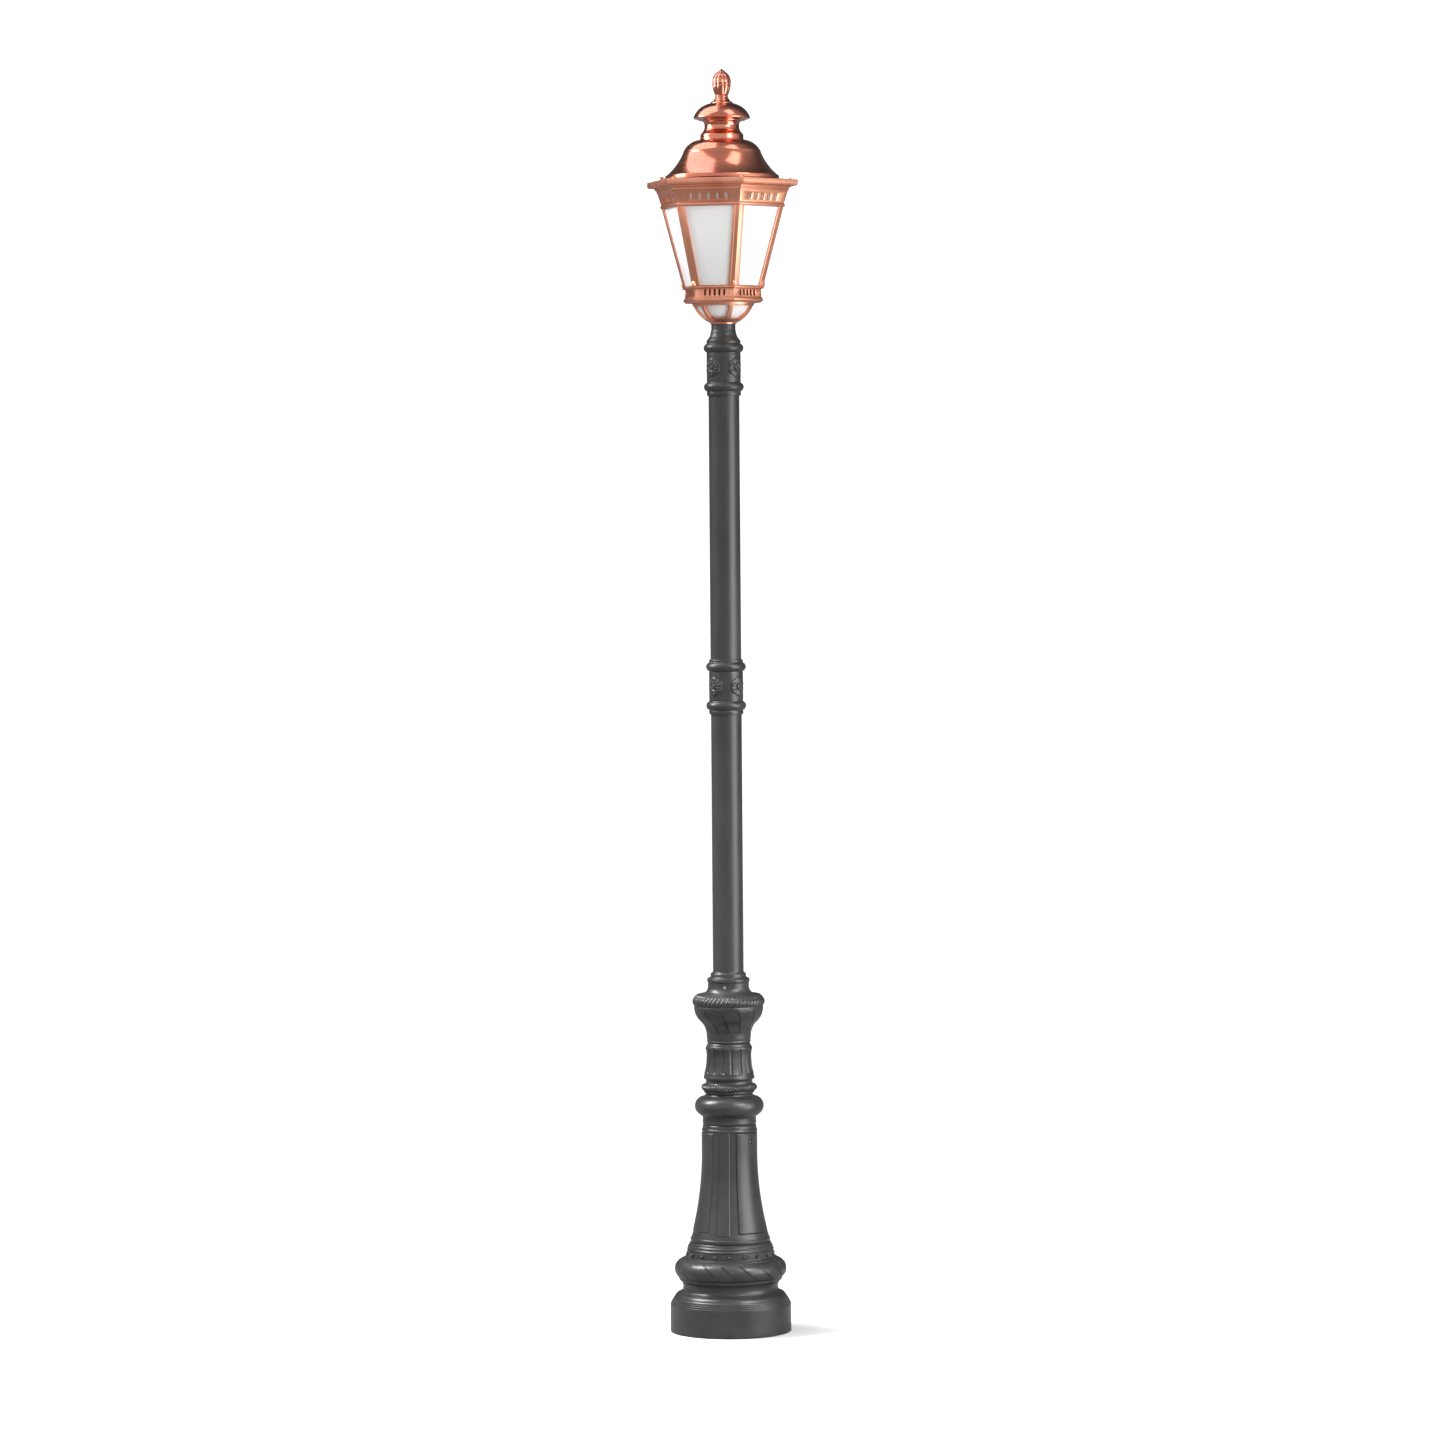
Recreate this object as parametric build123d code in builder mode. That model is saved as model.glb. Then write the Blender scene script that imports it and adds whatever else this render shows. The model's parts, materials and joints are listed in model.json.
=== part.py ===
from build123d import *
import os
from math import cos, radians, sin, sqrt

# A street lamp post: a cast and turned base, a two-part steel tube with two rosette collars, and a
# hexagonal copper lantern with opal glass. Millimetres, +Z up, origin on the ground on the post's axis.
# Polar angles are counted from +X, anticlockwise seen from above, and the front faces -Y.

os.makedirs("parts", exist_ok=True)

# ---------------------------------------------------------------- driving dimensions
FRONT = -90  # polar angle of the lantern's front face
FIT = 0.3  # gap between pieces that move or slide on each other

PLINTH_R = 175  # outer radius of the plinth
PLATE_R, PLATE_T = 165, 18  # steel base plate
ANCHOR_PCD, ANCHOR_R = 240, 11  # four anchor bolt holes
CABLE_HOLE_R = 45  # supply cable entry in the base plate

TUBE_R, TUBE_WALL = 44.45, 3.6  # standard 88.9 mm tube
BIG_TUBE_R, BIG_TUBE_WALL = 69.85, 5  # standard 139.7 mm tube round the compartment
BIG_TUBE_TOP, SWAGE_TOP = 620, 665  # where the big tube starts and ends its swage
COLLAR_BORE = TUBE_R + FIT  # bore of every casting that slides on the tube

TORUS_Z, PEARL_Z, PEDESTAL_Z, KNOP_Z = 158, 212, 262, 602  # joints between the base castings
BEAD_Z, DRUM_Z, VASE_Z, SOCKET_Z, SOCKET_TOP = 690, 733, 838, 985, 1044

SHAFT_FOOT_R, SHAFT_FOOT_Z = 110.5, 287  # the pedestal's shaft at its foot
SHAFT_NECK_R, SHAFT_NECK_Z = 80.9, 540  # and where its hollow curve ends
SHAFT_TOP_Z, SHAFT_HOLLOW = 582, 8.4  # top of the shaft, and depth of the curve
PANEL_SINK = 2  # the frame round each panel lies this far below the pilasters
PILASTER_ANGLE, PILASTER_SPAN = FRONT + 3, 19  # three pilasters, this many degrees wide
DOOR_ANGLE, DOOR_SPAN = FRONT + 63, 69  # the service door
DOOR_LOW, DOOR_HIGH, DOOR_T, DOOR_GAP = 293, 579, 5, 1.5
LIP_SPAN, LIP_DEPTH, LIP_LEDGE = 62, 7, 7  # the door closes on a lip cast in the pedestal
PEDESTAL_WALL = 10
LOCK_Z, LOCK_R, SPINDLE_R = 555, 9, 4
CAM_LENGTH, CAM_IN, CAM_OUT = 26, 61.5, 65  # the lock's cam and its radial stations

COLLAR_R, ROLL_BULGE, ROLL_H = 49.1, 8.4, 26  # rosette collars: barrel radius and their two rolls
MID_COLLAR_Z, TOP_COLLAR_Z, COLLAR_ROLL_LOW, COLLAR_BARREL = 1789, 2707, 12, 86
JOINT_Z, TUBE_TOP = 1868, 2863  # the tubes meet inside the middle collar
ROSETTE_R, ROSETTE_PROUD, ROSETTE_ANGLE = 28.5, 5, FRONT + 60

SPIGOT_R, SPIGOT_TOP = 30.15, 2948
LANTERN_Z, BOWL_R, BOWL_CENTRE = 2913, 95.4, 3004  # the bowl cage is part of a ball
SOCKET_R, CAGE_FOOT_R = 37, 38  # lantern socket, and the cage's foot round it
GALLERY_Z, GALLERY_TOP = 2973, 3020
POST_FOOT_R, POST_HEAD_R, POST_HEAD_Z = 119.7, 180.8, 3246  # corner posts, to their outer corner
FLANGE, FLANGE_T = 18.5, 3  # each corner post is an angle bar
PANE_T, PANE_LAP = 4, 8  # opal panes and how far they go behind the flanges
FRIEZE_TOP, CORNICE_R, CORNICE_TOP = 3298, 224, 3323
DECK_HOLE_R, SHELF_HOLE_R = 140, 135  # openings in the cornice's deck and in its shelf
DOME_R, DOME_Z, DOME_TOP = 163.8, 3327, 3441
CHIMNEY_TOP, CAP_TOP, TIP_Z = 3497, 3546, 3645

HINGE_ANGLE, HINGE_R, HINGE_Z = FRONT + 120, 172, 3328
KNUCKLE_R, HINGE_PIN_R, KNUCKLE_L = 4.5, 2.4, 26
CATCH_ANGLE, CATCH_R, CATCH_ARM = FRONT - 60, 180, 14

STEM_R, STEM_BORE, CABLE_R = 8, 6, 4


# ---------------------------------------------------------------- construction helpers
def radial(angle):
    """The upright plane through the axis at a polar angle: its x points outwards, its y up."""
    a = radians(angle)
    return Plane(origin=(0, 0, 0), x_dir=(cos(a), sin(a), 0), z_dir=(sin(a), -cos(a), 0))


def facing(angle, distance, height):
    """A plane square to the radius at a polar angle: its normal points outwards, its y up."""
    a = radians(angle)
    origin = (distance * cos(a), distance * sin(a), height)
    return Plane(origin=origin, x_dir=(-sin(a), cos(a), 0), z_dir=(cos(a), sin(a), 0))


def turned_ground(angle, height=0):
    """The level plane at a height, turned so that its x points along a polar angle."""
    a = radians(angle)
    return Plane(origin=(0, 0, height), x_dir=(cos(a), sin(a), 0), z_dir=(0, 0, 1))


def outline(*points):
    """Lines and arcs through (radius, height) points. A third value is how far an arc bulges
    outwards on its way to that point, and it is negative for a hollow."""
    for here, there in zip(points, points[1:]):
        if len(there) == 3:
            upwards = there[1] > here[1]
            SagittaArc(here[:2], there[:2], -there[2] if upwards else there[2])
        else:
            Line(here[:2], there[:2])


def turned(outside, inside):
    """A turned wall: one outline runs up its outside, the other runs down its inside."""
    with BuildSketch(Plane.XZ) as section:
        with BuildLine():
            outline(*outside, *inside, outside[0][:2])
        make_face()
    revolve(section.sketch, axis=Axis.Z)


def shaft_slice(angle, span, inner, outer, low, high, mode=Mode.ADD):
    """A piece of the pedestal's curved wall: so many degrees wide about a polar angle, between two
    depths from the pilasters' face and between two heights."""
    with BuildSketch(radial(angle - span / 2)) as section:
        with BuildLine():
            outline(
                (SHAFT_FOOT_R + outer, SHAFT_FOOT_Z),
                (SHAFT_NECK_R + outer, SHAFT_NECK_Z, -SHAFT_HOLLOW),
                (SHAFT_NECK_R + outer, SHAFT_TOP_Z),
                (SHAFT_NECK_R + inner, SHAFT_TOP_Z),
                (SHAFT_NECK_R + inner, SHAFT_NECK_Z),
                (SHAFT_FOOT_R + inner, SHAFT_FOOT_Z, -SHAFT_HOLLOW),
                (SHAFT_FOOT_R + outer, SHAFT_FOOT_Z),
            )
        make_face()
        with Locations((SHAFT_FOOT_R, (low + high) / 2)):
            Rectangle(2 * SHAFT_FOOT_R, high - low, mode=Mode.INTERSECT)
    revolve(section.sketch, axis=Axis.Z, revolution_arc=span, mode=mode)


def hexagon_stack(*levels, mode=Mode.ADD):
    """A hexagonal block through (corner radius, height) levels, with sloping faces between."""
    for (low_r, low_z), (high_r, high_z) in zip(levels, levels[1:]):
        with BuildSketch(Plane.XY.offset(low_z)) as foot:
            RegularPolygon(low_r, 6)
        with BuildSketch(Plane.XY.offset(high_z)) as head:
            RegularPolygon(high_r, 6)
        loft([foot.sketch, head.sketch], mode=mode)


def face_angles():
    """Polar angles of the lantern's six faces, the front one first."""
    return [FRONT + 60 * k for k in range(6)]


def slots(apothem, height, pitch, long, wide, depth):
    """Five upright slots with round ends, cut through each of the lantern's six faces."""
    for angle in face_angles():
        with BuildSketch(facing(angle, apothem, height)) as row:
            with GridLocations(pitch, 1, 5, 1):
                SlotOverall(long, wide, rotation=90)
        extrude(row.sketch, amount=-depth, mode=Mode.SUBTRACT)


def keep(piece, name):
    """Labels a finished piece and writes its file."""
    piece.part.label = name
    export_step(piece.part, f"parts/{name}.step")


# ---------------------------------------------------------------- steel post
with BuildPart() as base_plate:
    with BuildSketch():
        Circle(PLATE_R)
        Circle(CABLE_HOLE_R, mode=Mode.SUBTRACT)
        with PolarLocations(ANCHOR_PCD / 2, 4, start_angle=45):
            Circle(ANCHOR_R, mode=Mode.SUBTRACT)
    extrude(amount=PLATE_T)
keep(base_plate, "base_plate")

with BuildPart() as compartment_tube:
    turned(
        [(BIG_TUBE_R, PLATE_T), (BIG_TUBE_R, BIG_TUBE_TOP), (TUBE_R, SWAGE_TOP)],
        [
            (TUBE_R - TUBE_WALL, SWAGE_TOP),
            (TUBE_R - TUBE_WALL, SWAGE_TOP - 3),
            (BIG_TUBE_R - BIG_TUBE_WALL, BIG_TUBE_TOP - 3),
            (BIG_TUBE_R - BIG_TUBE_WALL, PLATE_T),
        ],
    )
    # hand hole behind the service door
    with BuildSketch(facing(DOOR_ANGLE, 0, 446)):
        RectangleRounded(84, 292, 12)
    extrude(amount=80, mode=Mode.SUBTRACT)
keep(compartment_tube, "compartment_tube")

with BuildPart() as lower_tube:
    with BuildSketch(Plane.XY.offset(SWAGE_TOP)):
        Circle(TUBE_R)
        Circle(TUBE_R - TUBE_WALL, mode=Mode.SUBTRACT)
    extrude(amount=JOINT_Z - SWAGE_TOP)
keep(lower_tube, "lower_tube")

with BuildPart() as upper_tube:
    with BuildSketch(Plane.XY.offset(JOINT_Z)):
        Circle(TUBE_R)
        Circle(TUBE_R - TUBE_WALL, mode=Mode.SUBTRACT)
    extrude(amount=TUBE_TOP - JOINT_Z)
keep(upper_tube, "upper_tube")

with BuildPart() as joint_sleeve:
    with BuildSketch(Plane.XY.offset(JOINT_Z - 98)):
        Circle(TUBE_R - TUBE_WALL - 0.25)
        Circle(TUBE_R - TUBE_WALL - 4, mode=Mode.SUBTRACT)
    extrude(amount=196)
keep(joint_sleeve, "joint_sleeve")

# ---------------------------------------------------------------- cast base, from the ground up
with BuildPart() as plinth:
    turned(
        [
            (PLINTH_R, 0),
            (PLINTH_R, 82),
            (165, 98, 2.6),  # round shoulder
            (163, 101),
            (153, 113, 1.5),
            (139.6, 122, -1.5),
            (148.6, 151, -5.5),  # hollow under the torus
            (150, 154),
            (150, TORUS_Z),
        ],
        [(140, TORUS_Z), (129, 142), (129, 124), (145, 104), (PLATE_R, 80), (PLATE_R, 0)],
    )
keep(plinth, "plinth")

with BuildPart() as ribbon_torus:
    turned([(150, TORUS_Z), (138, PEARL_Z, 18)], [(127, PEARL_Z), (127, TORUS_Z)])
keep(ribbon_torus, "ribbon_torus")

with BuildPart() as pearl_band:
    turned(
        [
            (136, PEARL_Z),
            (136, 215),
            (125, 217),
            (125, 238),
            (121.5, 249, 2.2),  # small bead
            (118.9, 256, -1),
            (112.7, PEDESTAL_Z, 1),
        ],
        [(104, PEDESTAL_Z), (104, 250), (116, 230), (116, PEARL_Z)],
    )
    with PolarLocations(125, 18, start_angle=FRONT + 13):
        with Locations((0, 0, 227)):
            Sphere(5.5)
keep(pearl_band, "pearl_band")

with BuildPart() as pedestal:
    turned(
        [
            (112.7, PEDESTAL_Z),
            (115.3, 267),
            (115.3, 272),
            (SHAFT_FOOT_R - PANEL_SINK, SHAFT_FOOT_Z),
            (SHAFT_NECK_R - PANEL_SINK, SHAFT_NECK_Z, -SHAFT_HOLLOW),
            (SHAFT_NECK_R - PANEL_SINK, SHAFT_TOP_Z),
            (79, 597),
            (74.7, KNOP_Z, 1),
        ],
        [
            (SHAFT_NECK_R - PEDESTAL_WALL, KNOP_Z),
            (SHAFT_NECK_R - PEDESTAL_WALL, SHAFT_NECK_Z),
            (SHAFT_FOOT_R - PEDESTAL_WALL, SHAFT_FOOT_Z, -SHAFT_HOLLOW),
            (SHAFT_FOOT_R - PEDESTAL_WALL, PEDESTAL_Z),
        ],
    )
    for turn in (0, 120, 240):
        shaft_slice(PILASTER_ANGLE + turn, PILASTER_SPAN, -5, 0, SHAFT_FOOT_Z, SHAFT_TOP_Z)
    # the door's rebate, and the opening inside its lip
    rebate_span = DOOR_SPAN + 2 * 0.9
    rebate = (-LIP_DEPTH, 5, DOOR_LOW - DOOR_GAP, DOOR_HIGH + DOOR_GAP)
    shaft_slice(DOOR_ANGLE, rebate_span, *rebate, mode=Mode.SUBTRACT)
    mouth = (-PEDESTAL_WALL - 5, 0, DOOR_LOW + LIP_LEDGE, DOOR_HIGH - LIP_LEDGE)
    shaft_slice(DOOR_ANGLE, LIP_SPAN, *mouth, mode=Mode.SUBTRACT)
    # the two fixed panels, raised in their frames
    for turn in (120, 240):
        shaft_slice(DOOR_ANGLE + turn, DOOR_SPAN, -5, 0, DOOR_LOW, DOOR_HIGH)
keep(pedestal, "pedestal")

with BuildPart() as knop_torus:
    turned(
        [
            (74.7, KNOP_Z),
            (77, 608),
            (77, 622),
            (86, 631, -1.5),
            (74, 683, 19.5),
            (67.5, BEAD_Z, -1),
        ],
        [(60, BEAD_Z), (60, 652), (70.6, 640), (70.6, KNOP_Z)],
    )
keep(knop_torus, "knop_torus")

with BuildPart() as bead_ring:
    turned(
        [
            (67.5, BEAD_Z),
            (72.5, 698, -1),
            (72.5, 719, 8),
            (66.9, 729, -1),
            (69.3, DRUM_Z),
        ],
        [(58, DRUM_Z), (58, BEAD_Z)],
    )
keep(bead_ring, "bead_ring")

with BuildPart() as fluted_drum:
    turned(
        [
            (69.3, DRUM_Z),
            (73.5, 736),
            (73.5, 740),
            (71.5, 750),
            (65, 786, -1.5),
            (66.4, 818, -1),
            (66.4, 828),
            (59.9, VASE_Z, 1),
        ],
        [(52, VASE_Z), (52, DRUM_Z)],
    )
keep(fluted_drum, "fluted_drum")

with BuildPart() as vase:
    turned(
        [
            (59.9, VASE_Z),
            (62.9, 846, 1),
            (64, 868, 0.3),
            (83, 902, -3.5),  # flare
            (101, 948, 4.5),
            (96.5, 967, 2),  # lobed rim
            (83, 979, 3),
            (66.6, SOCKET_Z, -2),
        ],
        [(52, SOCKET_Z), (52, 975), (86, 962), (90, 948), (72, 902), (54, 868), (52, VASE_Z)],
    )
keep(vase, "vase")

SET_SCREW_Z, SET_SCREW_R = 1002, 5
with BuildPart() as socket_collar:
    turned(
        [
            (66.6, SOCKET_Z),
            (59.5, 1002, -2),
            (59.5, 1014),
            (60.7, 1018),
            (60.7, 1024),
            (50.5, 1032, 2),
            (49.5, 1037),
            (45.6, SOCKET_TOP, -1),
        ],
        [(COLLAR_BORE, SOCKET_TOP), (COLLAR_BORE, SOCKET_Z)],
    )
    for turn in (0, 120, 240):
        with BuildSketch(facing(PILASTER_ANGLE + turn, 40, SET_SCREW_Z)):
            Circle(SET_SCREW_R)
        extrude(amount=30, mode=Mode.SUBTRACT)
keep(socket_collar, "socket_collar")

with BuildPart() as socket_screws:
    for turn in (0, 120, 240):
        with BuildSketch(facing(PILASTER_ANGLE + turn, COLLAR_BORE, SET_SCREW_Z)):
            Circle(SET_SCREW_R)
        extrude(amount=13.5)
        with BuildSketch(facing(PILASTER_ANGLE + turn, COLLAR_BORE + 13.5, SET_SCREW_Z)):
            RegularPolygon(2.9, 6)
        extrude(amount=-6, mode=Mode.SUBTRACT)
keep(socket_screws, "socket_screws")


# ---------------------------------------------------------------- rosette collars
def collar_outline(low):
    """Outside of a rosette collar: ring, roll, plain barrel, roll and ring."""
    roll_1 = low + COLLAR_ROLL_LOW
    roll_2 = roll_1 + ROLL_H + COLLAR_BARREL
    return [
        (COLLAR_R, low),
        (COLLAR_R, roll_1),
        (COLLAR_R, roll_1 + ROLL_H, ROLL_BULGE),
        (COLLAR_R, roll_2),
        (COLLAR_R, roll_2 + ROLL_H, ROLL_BULGE),
    ]


def rosette_height(low):
    """Height of the rosettes' centres on a collar that starts at a height."""
    return low + COLLAR_ROLL_LOW + ROLL_H + COLLAR_BARREL / 2


def rosettes(height):
    """Four round rosettes curved to fit the collar, each with a domed button."""
    for turn in (0, 90, 180, 270):
        with BuildSketch(facing(ROSETTE_ANGLE + turn, 30, height)) as disc:
            Circle(ROSETTE_R)
        extrude(disc.sketch, amount=30)
    with BuildSketch(Plane.XY.offset(height - 40)) as sleeve:
        Circle(COLLAR_R + ROSETTE_PROUD)
        Circle(COLLAR_R, mode=Mode.SUBTRACT)
    extrude(sleeve.sketch, amount=80, mode=Mode.INTERSECT)
    button_r = COLLAR_R + ROSETTE_PROUD - 1
    for turn in (0, 90, 180, 270):
        with BuildSketch(facing(ROSETTE_ANGLE + turn, button_r, height)) as button:
            Circle(6)
        extrude(button.sketch, amount=3, taper=20)


with BuildPart() as mid_collar:
    ring_top = MID_COLLAR_Z + 158
    turned(
        [*collar_outline(MID_COLLAR_Z), (COLLAR_R, ring_top)],
        [(COLLAR_BORE, ring_top), (COLLAR_BORE, MID_COLLAR_Z)],
    )
keep(mid_collar, "mid_collar")

with BuildPart() as mid_rosettes:
    rosettes(rosette_height(MID_COLLAR_Z))
keep(mid_rosettes, "mid_rosettes")

with BuildPart() as top_collar:
    turned(
        [*collar_outline(TOP_COLLAR_Z), (COLLAR_R, TUBE_TOP)],
        [(COLLAR_BORE, TUBE_TOP), (COLLAR_BORE, TOP_COLLAR_Z)],
    )
keep(top_collar, "top_collar")

with BuildPart() as top_rosettes:
    rosettes(rosette_height(TOP_COLLAR_Z))
keep(top_rosettes, "top_rosettes")

with BuildPart() as spigot:
    plug_r = TUBE_R - TUBE_WALL - 0.25
    turned(
        [
            (plug_r, TUBE_TOP - 43),
            (plug_r, TUBE_TOP),
            (COLLAR_R, TUBE_TOP),
            (48.6, TUBE_TOP + 3),
            (37, 2890, -3),
            (34.9, 2898, -0.6),
            (34.9, LANTERN_Z),
            (SPIGOT_R, LANTERN_Z),
            (SPIGOT_R, SPIGOT_TOP),
        ],
        [(22, SPIGOT_TOP), (22, TUBE_TOP - 43)],
    )
keep(spigot, "spigot")

# ---------------------------------------------------------------- electrical gear in the pedestal
GEAR_GROUND = turned_ground(DOOR_ANGLE)
CARRIER_LOW, CARRIER_HIGH = 425, 485

with BuildPart(GEAR_GROUND) as mounting_board:
    with Locations((-30, 0, 450)):
        Box(6, 80, 250)
    with Locations((-48, 0, 335), (-48, 0, 565)):
        Box(30, 16, 8)
keep(mounting_board, "mounting_board")

with BuildPart(GEAR_GROUND) as cutout_housing:
    with Locations((-8.5, 0, 455)):
        Box(37, 60, 110)
    with Locations((7.35, 0, (CARRIER_LOW + CARRIER_HIGH) / 2)):
        Box(25.3, 30 + 2 * FIT, CARRIER_HIGH - CARRIER_LOW + 2 * FIT, mode=Mode.SUBTRACT)
keep(cutout_housing, "cutout_housing")

with BuildPart(GEAR_GROUND) as fuse_carrier:
    with Locations((8.5, 0, (CARRIER_LOW + CARRIER_HIGH) / 2)):
        Box(27, 30, CARRIER_HIGH - CARRIER_LOW)
    with Locations((26, 0, (CARRIER_LOW + CARRIER_HIGH) / 2)):
        Box(8, 10, 34)
    fillet(fuse_carrier.edges().group_by(Axis.Z)[-1], radius=1.5)
keep(fuse_carrier, "fuse_carrier")

with BuildPart() as earth_stud:
    # brass stud on the mounting board, with its nut
    stud_a = radians(DOOR_ANGLE)
    stud_x, stud_y = -27, 26
    stud_at = (
        stud_x * cos(stud_a) - stud_y * sin(stud_a),
        stud_x * sin(stud_a) + stud_y * cos(stud_a),
        355,
    )
    stud_plane = Plane(
        origin=stud_at,
        x_dir=(-sin(stud_a), cos(stud_a), 0),
        z_dir=(cos(stud_a), sin(stud_a), 0),
    )
    with BuildSketch(stud_plane):
        Circle(4)
    extrude(amount=24)
    with BuildSketch(stud_plane.offset(6)):
        RegularPolygon(7.5, 6)
    extrude(amount=6.5)
keep(earth_stud, "earth_stud")

with BuildPart() as riser_cable:
    with BuildSketch(Plane.XY.offset(510)):
        Circle(CABLE_R)
    extrude(amount=3312 - 510)
keep(riser_cable, "riser_cable")

# ---------------------------------------------------------------- service door
with BuildPart() as service_door:
    shaft_slice(DOOR_ANGLE, DOOR_SPAN, -DOOR_T, 0, DOOR_LOW, DOOR_HIGH)
    with BuildSketch(facing(DOOR_ANGLE, 60, LOCK_Z)):
        Circle(LOCK_R)
    extrude(amount=40, mode=Mode.SUBTRACT)
keep(service_door, "service_door")

with BuildPart() as door_gasket:
    gasket_depth = (-LIP_DEPTH + FIT, -DOOR_T)
    shaft_slice(DOOR_ANGLE, DOOR_SPAN - 1, *gasket_depth, DOOR_LOW + 1, DOOR_HIGH - 1)
    opening = (-PEDESTAL_WALL, 0, DOOR_LOW + 6, DOOR_HIGH - 6)
    shaft_slice(DOOR_ANGLE, LIP_SPAN + 1, *opening, mode=Mode.SUBTRACT)
keep(door_gasket, "door_gasket")

with BuildPart() as lock_barrel:
    with BuildSketch(facing(DOOR_ANGLE, 72, LOCK_Z)):
        Circle(LOCK_R)
        Circle(SPINDLE_R + 0.1, mode=Mode.SUBTRACT)
    extrude(amount=9.2)
    # recess for the key round the spindle's head
    with BuildSketch(facing(DOOR_ANGLE, 76, LOCK_Z)):
        Circle(LOCK_R - 2)
    extrude(amount=10, mode=Mode.SUBTRACT)
keep(lock_barrel, "lock_barrel")

with BuildPart() as lock_cam:
    with BuildSketch(facing(DOOR_ANGLE, CAM_IN, LOCK_Z)):
        with Locations((CAM_LENGTH / 2 - 4, 0)):
            SlotOverall(CAM_LENGTH + 8, 12)
    extrude(amount=CAM_OUT - CAM_IN)
    with BuildSketch(facing(DOOR_ANGLE, CAM_OUT, LOCK_Z)):
        Circle(SPINDLE_R)
    extrude(amount=76 - CAM_OUT)
    with BuildSketch(facing(DOOR_ANGLE, 76, LOCK_Z)):
        RegularPolygon(4.6, 3)
    extrude(amount=4.6)
keep(lock_cam, "lock_cam")

# ---------------------------------------------------------------- lantern: socket and bowl
with BuildPart() as lantern_socket:
    turned(
        [(SOCKET_R, LANTERN_Z), (SOCKET_R, LANTERN_Z + 45)],
        [
            (STEM_R, LANTERN_Z + 45),
            (STEM_R, SPIGOT_TOP + 2),
            (SPIGOT_R + 0.3, SPIGOT_TOP + 2),
            (SPIGOT_R + 0.3, LANTERN_Z),
        ],
    )
keep(lantern_socket, "lantern_socket")


def ball_radius(ball, height):
    """Radius at a height of a ball centred where the bowl is."""
    return sqrt(ball**2 - (height - BOWL_CENTRE) ** 2)


def ball_height(ball, radius):
    """Height at which the same ball's underside has a radius."""
    return BOWL_CENTRE - sqrt(ball**2 - radius**2)


def ball_arc(ball, *heights):
    """Arc along a ball's underside from the first height to the last."""
    first, last = heights
    middle = (first + last) / 2
    ThreePointArc(*[(ball_radius(ball, z), z) for z in (first, middle, last)])


RIB_W, RIB_DEEP, WINDOW_LOW, WINDOW_HIGH = 11, 9, 2925.9, 2964.5
with BuildPart() as bowl_cage:
    with BuildSketch(Plane.XZ):
        with BuildLine():
            ball_arc(BOWL_R, ball_height(BOWL_R, CAGE_FOOT_R), GALLERY_Z)
            Line(
                (ball_radius(BOWL_R, GALLERY_Z), GALLERY_Z),
                (ball_radius(BOWL_R - RIB_DEEP, GALLERY_Z), GALLERY_Z),
            )
            ball_arc(BOWL_R - RIB_DEEP, GALLERY_Z, ball_height(BOWL_R - RIB_DEEP, SOCKET_R))
            Polyline(
                (SOCKET_R, ball_height(BOWL_R - RIB_DEEP, SOCKET_R)),
                (SOCKET_R, LANTERN_Z),
                (CAGE_FOOT_R, LANTERN_Z),
                (CAGE_FOOT_R, ball_height(BOWL_R, CAGE_FOOT_R)),
            )
        make_face()
    revolve(axis=Axis.Z)
    # six windows leave ribs of even width below the lantern's corners
    for angle in face_angles():
        with BuildSketch(turned_ground(angle, WINDOW_LOW)):
            Polygon((RIB_W, 0), (RIB_W + 104, 60), (RIB_W + 104, -60), align=None)
        extrude(amount=WINDOW_HIGH - WINDOW_LOW, mode=Mode.SUBTRACT)
keep(bowl_cage, "bowl_cage")

OPAL_R, OPAL_T, OPAL_HOLE_R, OPAL_TOP = BOWL_R - RIB_DEEP - 0.4, 3, 38, 2985
with BuildPart() as bowl_glass:
    with BuildSketch(Plane.XZ):
        with BuildLine():
            ball_arc(OPAL_R, ball_height(OPAL_R, OPAL_HOLE_R), OPAL_TOP)
            Line(
                (ball_radius(OPAL_R, OPAL_TOP), OPAL_TOP),
                (ball_radius(OPAL_R - OPAL_T, OPAL_TOP), OPAL_TOP),
            )
            ball_arc(OPAL_R - OPAL_T, OPAL_TOP, ball_height(OPAL_R - OPAL_T, OPAL_HOLE_R))
            Line(
                (OPAL_HOLE_R, ball_height(OPAL_R - OPAL_T, OPAL_HOLE_R)),
                (OPAL_HOLE_R, ball_height(OPAL_R, OPAL_HOLE_R)),
            )
        make_face()
    revolve(axis=Axis.Z)
keep(bowl_glass, "bowl_glass")

# ---------------------------------------------------------------- lantern: gallery, posts and panes
COS30 = sqrt(3) / 2  # a hexagon's apothem over its corner radius

with BuildPart() as gallery:
    hexagon_stack(
        (112, GALLERY_Z), (118, 2978), (118, 2984), (116, 2989), (112, 3012), (122, 3015), (119, GALLERY_TOP)
    )
    hexagon_stack((106, GALLERY_Z + 4), (106, GALLERY_TOP), mode=Mode.SUBTRACT)
    with BuildSketch(Plane.XY.offset(GALLERY_Z)):
        Circle(87)
    extrude(amount=4, mode=Mode.SUBTRACT)
    slots(118 * COS30, 3000.5, pitch=14, long=19, wide=6.5, depth=14)
keep(gallery, "gallery")

with BuildPart() as gallery_screws:
    for angle in face_angles():
        with BuildSketch(facing(angle, 99.2, 3001)):
            with GridLocations(94, 1, 2, 1):
                Circle(3)
        extrude(amount=2.2, taper=25)
keep(gallery_screws, "gallery_screws")


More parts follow.
